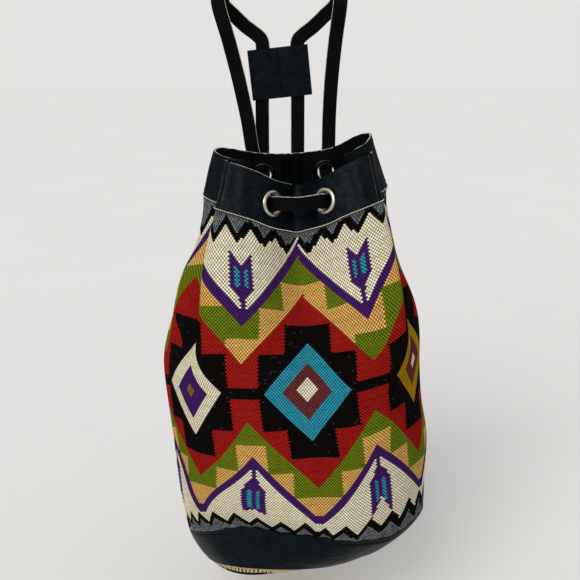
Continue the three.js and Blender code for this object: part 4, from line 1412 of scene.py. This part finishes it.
def shoulder_strap(side, lace_x, end_x, seat_name, foot_out):
    """Route of one strap: from the base seam up through the slider, over its loop and to its eyelet."""
    centre, axis = SEATS[seat_name]
    route = [back_point(end_x + (lace_x - end_x) * min(1, up / BACK_BEND_UP), up) for up in BACK_UPS]
    slider_top = SLIDER_Z + SLIDER_H / 2
    slider_foot = SLIDER_Z - SLIDER_H / 2
    top = np.array([side * LOOP_X, -LOOP_R, -LOOP_R])
    foot = centre + 9.5 * axis + [side * foot_out, 0, 19]
    hung = [
        # Straight up behind the collar and through the slider, also where that slides
        (lace_x, LACE_Y, MOUTH_Z),
        (lace_x, LACE_Y, slider_foot - SLIDER_TRAVEL - LACE_W),
        (lace_x, LACE_Y, slider_foot),
        (lace_x, LACE_Y, SLIDER_Z),
        (lace_x, LACE_Y, slider_top + 7),
        # Outward to the loop and over it
        (lace_x + side * 6, LACE_Y - 0.5, slider_top + 14),
        (side * 0.56 * LOOP_X, LOOP_R + 4.5, -34),
        (side * 0.75 * LOOP_X, LOOP_R + 2, -22),
        (side * 0.93 * LOOP_X, LOOP_R, -LOOP_R - 1),
        (side * 0.965 * LOOP_X, 0.7 * LOOP_R, LACE_T / 2 - 0.3 * LOOP_R),
        (side * 0.985 * LOOP_X, 0, LACE_T / 2),
        (side * LOOP_X, -0.7 * LOOP_R, LACE_T / 2 - 0.3 * LOOP_R),
        tuple(top),
    ]
    # Down in a slight bow, and round into the eyelet
    for t in (0.25, 0.5, 0.75):
        hung.append(top + (foot - top) * t + [-side * 3 * math.sin(math.pi * t), 0, 0])
    turn = centre + 8.5 * axis + [side * 0.32 * foot_out, 0, 6.5]
    hung += [foot, turn, centre + 4 * axis + [0, 0, 0.8], centre - 5 * axis]
    return route + [(np.array(point), ACROSS) for point in hung]


def inner_run(name, sign):
    """Route from a rear eyelet across the mouth and out of a front one, turning on edge on the way."""
    rear, rear_axis = SEATS["rear_" + name]
    fore, fore_axis = SEATS["front_" + name]
    start = rear - 18 * rear_axis
    lead = fore - 15 * fore_axis
    upright = -sign * UPRIGHT
    return [
        (start, ACROSS),
        (start - 6 * rear_axis, ACROSS),
        ((start + lead) / 2 + [sign * 3, 0, -2], 0.7 * (ACROSS + upright)),
        (lead, upright),
        (fore - 5 * fore_axis, upright),
        (fore + 5 * fore_axis, upright),
    ]


def turned_back(route):
    return [(point, -width) for point, width in reversed(route)]


def smooth_route(points, per_span):
    """A centripetal curve through the points, in even steps between each two of them."""
    ends = np.vstack([2 * points[0] - points[1], points, 2 * points[-1] - points[-2]])
    knots = np.maximum(np.linalg.norm(np.diff(ends, axis=0), axis=1) ** 0.5, 1e-3)
    spots = []
    for i in range(len(points) - 1):
        p0, p1, p2, p3 = ends[i:i + 4]
        d0, d1, d2 = knots[i:i + 3]
        into = ((p1 - p0) / d0 - (p2 - p0) / (d0 + d1) + (p2 - p1) / d1) * d1
        out = ((p2 - p1) / d1 - (p3 - p1) / (d1 + d2) + (p3 - p2) / d2) * d1
        for t in np.arange(per_span) / per_span:
            square = (-3 * p1 + 3 * p2 - 2 * into - out) * t ** 2
            cube = (2 * p1 - 2 * p2 + into + out) * t ** 3
            spots.append(p1 + into * t + square + cube)
    spots.append(points[-1])
    return np.array(spots)


def leather_lace():
    """Both straps and the stretch across the front, as one lace."""
    left = inner_run("left", -1)
    right = turned_back(inner_run("right", 1))
    middle = (left[-1][0] + right[0][0]) / 2 + [0, -7, -1]
    route = shoulder_strap(-1, LACE_LEFT, LACE_END_LEFT, "rear_left", LEFT_FOOT_OUT) + left
    route += [(middle, UPRIGHT)] + right
    route += turned_back(shoulder_strap(1, LACE_RIGHT, LACE_END_RIGHT, "rear_right", RIGHT_FOOT_OUT))
    spots = smooth_route(np.array([point for point, _ in route]), LACE_STEPS)
    widths = np.array([width for _, width in route])
    at = np.arange(len(spots)) / LACE_STEPS
    wide = np.stack([np.interp(at, np.arange(len(widths)), widths[:, c]) for c in range(3)], -1)
    aim = unit(np.gradient(spots, axis=0))
    wide = unit(wide - np.sum(wide * aim, -1, keepdims=True) * aim)
    thick = np.cross(aim, wide)
    points = spots[:, None] + LACE_SECTION[:, :1] * wide[:, None] + LACE_SECTION[:, 1:] * thick[:, None]
    corners = len(LACE_SECTION)
    tail = (len(spots) - 1) * corners
    faces = tube_faces(0, corners, len(spots))
    faces += [tuple(reversed(range(corners))), tuple(range(tail, tail + corners))]
    looks = [int(c in UNDYED_SIDES) for c in range(corners)] * (len(spots) - 1) + [1, 1]
    made = piece("leather_lace", points.reshape(-1, 3), faces, [LACE, RAW_EDGE], "bag", looks)
    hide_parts("strap_left", "strap_right", "drawstring_front")


leather_lace()

# Slider: a folded leather sleeve sewn down the middle into two channels. Its corners are shares of what
# they round, and its swell and wrinkles shares of its thickness.
FOLD_ROUND = 0.62
BORE_ROUND = 0.3
SEAM_R = 0.8
SLIDER_ROWS = 15
SLIDER_SWELL = 0.22
SLIDER_WRINKLE = 0.07


def rounded_box(half_w, half_t, right, left, steps=6):
    """Outline of a box whose right and left corners have radii of their own."""
    quarters = ((1, 1, 0, right), (-1, 1, 90, left), (-1, -1, 180, left), (1, -1, 270, right))
    points = []
    for x, y, start, radius in quarters:
        for k in range(steps + 1):
            turn = math.radians(start + 90 * k / steps)
            across = x * (half_w - radius) + radius * math.cos(turn)
            points.append((across, y * (half_t - radius) + radius * math.sin(turn)))
    return np.array(points)


def strap_slider():
    """The sleeve: each channel is a swollen outer skin around a plain bore, with cut ends."""
    channel_w = (SLIDER_W - 2 * SLIDER_WALL - SLIDER_WEB) / 2
    channel_t = LACE_T + 2 * GAP
    half_w = SLIDER_W / 4
    half_t = channel_t / 2 + SLIDER_WALL
    fold_r = FOLD_ROUND * half_t
    bore_r = BORE_ROUND * channel_t
    inner = rounded_box(channel_w / 2, channel_t / 2, bore_r, bore_r)
    corners = len(inner)
    end = (SLIDER_ROWS - 1) * corners
    swing = np.array([[math.cos(SLIDER_TURN), 0, -math.sin(SLIDER_TURN)], [0, 1, 0],
                      [math.sin(SLIDER_TURN), 0, math.cos(SLIDER_TURN)]])
    centre = np.array([(LACE_LEFT + LACE_RIGHT) / 2, LACE_Y, SLIDER_Z])
    points = []
    faces = []
    looks = []
    for side in (-1, 1):
        skin = len(points)
        bore = skin + SLIDER_ROWS * corners
        outer = rounded_box(half_w, half_t, *((fold_r, SEAM_R) if side > 0 else (SEAM_R, fold_r)))
        for section, swollen in ((outer, 1), (inner, 0)):
            for z in np.linspace(-0.5, 0.5, SLIDER_ROWS) * SLIDER_H:
                for x, y in section:
                    full = SLIDER_SWELL * math.cos(math.pi * x / half_w / 2)
                    wrinkle = SLIDER_WRINKLE * math.sin(0.31 * z + 0.5 * x + side) * math.cos(0.2 * x)
                    spot = np.array([x + side * half_w, y * (1 + swollen * (full + wrinkle)), z])
                    points.append(swing @ spot + centre)
        walls = tube_faces(skin, corners, SLIDER_ROWS) + tube_faces(bore, corners, SLIDER_ROWS, outward=False)
        rims = []
        for c in range(corners):
            after = (c + 1) % corners
            rims.append((bore + c, bore + after, skin + after, skin + c))
            rims.append((skin + end + c, skin + end + after, bore + end + after, bore + end + c))
        faces += walls + rims
        looks += [0] * len(walls) + [1] * len(rims)
    made = piece("leather_slider", points, faces, [LEATHER, LACE], "slider", looks, sharp=50)
    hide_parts("strap_slider")


strap_slider()

# Camera at the photograph's angle, for a frame of 580 by 580
FRAME_PX = 580
FOCAL_PX = 900
SENSOR_MM = 36
CAMERA_MM = (12, -1060, -49)
CAMERA_PITCH = math.radians(15.5)
camera_data = bpy.data.cameras.new("camera")
camera_data.sensor_width = SENSOR_MM
camera_data.lens = SENSOR_MM * FOCAL_PX / FRAME_PX
camera = bpy.data.objects.new("camera", camera_data)
camera.location = [x * MM for x in CAMERA_MM]
camera.rotation_euler = (math.pi / 2 - CAMERA_PITCH, 0, 0)
bpy.context.scene.collection.objects.link(camera)
bpy.context.scene.camera = camera

# Stage and light, in metres
FLOOR_DROP = 0.04
FLOOR_Z = CAD_BOX[0][2] - FLOOR_DROP
FLOOR_HALF = 12.0
FILL_LIGHT = 0.6
BAG_MIDDLE = Vector((0.02, -0.1, -0.38))


def matt_floor():
    """Matt painted floor: an even pale grey with a trace of roller texture."""
    made, tree, place = new_material("matt_floor_paint")
    roller = node(tree, "TexNoise", {"Vector": place, "Scale": fineness(ROLLER_MARK), "Detail": 2.0})
    tone = node(tree, "ValToRGB", {"Fac": roller.outputs[0]}, stops=((0, "#d9d8d6"), (1, "#dddcda")))
    shader = node(tree, "BsdfPrincipled", {
        "Base Color": tone.outputs[0], "Roughness": 0.9, "Specular IOR Level": 0.0})
    node(tree, "OutputMaterial", {"Surface": shader.outputs[0]})
    return made


floor_mesh = bpy.data.meshes.new("floor")
floor_corners = [(x * FLOOR_HALF, y * FLOOR_HALF, FLOOR_Z) for x, y in ((-1, -1), (1, -1), (1, 1), (-1, 1))]
floor_mesh.from_pydata(floor_corners, [], [(0, 1, 2, 3)])
floor_mesh.materials.append(matt_floor())
floor = bpy.data.objects.new("floor", floor_mesh)
bpy.context.scene.collection.objects.link(floor)

# An even fill from all around; the eye, metal and gloss see a pale backdrop instead
world = bpy.data.worlds.new("studio")
world.use_nodes = True
world.node_tree.nodes.clear()
ray = node(world.node_tree, "LightPath", {})
fill = node(world.node_tree, "Background", {"Color": (1, 1, 1, 1), "Strength": FILL_LIGHT})
pale = node(world.node_tree, "Background", {"Color": colour("#e3e2e0"), "Strength": 1.0})
shown = ray.outputs["Is Camera Ray"]
for mirrored in ("Is Glossy Ray", "Is Transmission Ray"):
    either = node(world.node_tree, "Math", {0: shown, 1: ray.outputs[mirrored]}, operation="MAXIMUM")
    shown = either.outputs[0]
seen = node(world.node_tree, "MixShader", {0: shown, 1: fill.outputs[0], 2: pale.outputs[0]})
node(world.node_tree, "OutputWorld", {"Surface": seen.outputs[0]})
bpy.context.scene.world = world


def soft_light(name, place, spread, power):
    """A broad, far lamp that lights the bag and the floor evenly; spread is its width in radians."""
    data = bpy.data.lights.new(name, "SUN")
    data.angle = spread
    data.energy = power
    made = bpy.data.objects.new(name, data)
    made.location = place
    made.rotation_mode = "QUATERNION"
    made.rotation_quaternion = (BAG_MIDDLE - Vector(place)).to_track_quat("-Z", "Y")
    bpy.context.scene.collection.objects.link(made)


soft_light("key", (-0.75, -1.6, 0.85), spread=0.7, power=2.0)
soft_light("rear", (0.6, 1.7, 1.2), spread=0.9, power=0.5)

bpy.context.scene.view_settings.view_transform = "Standard"
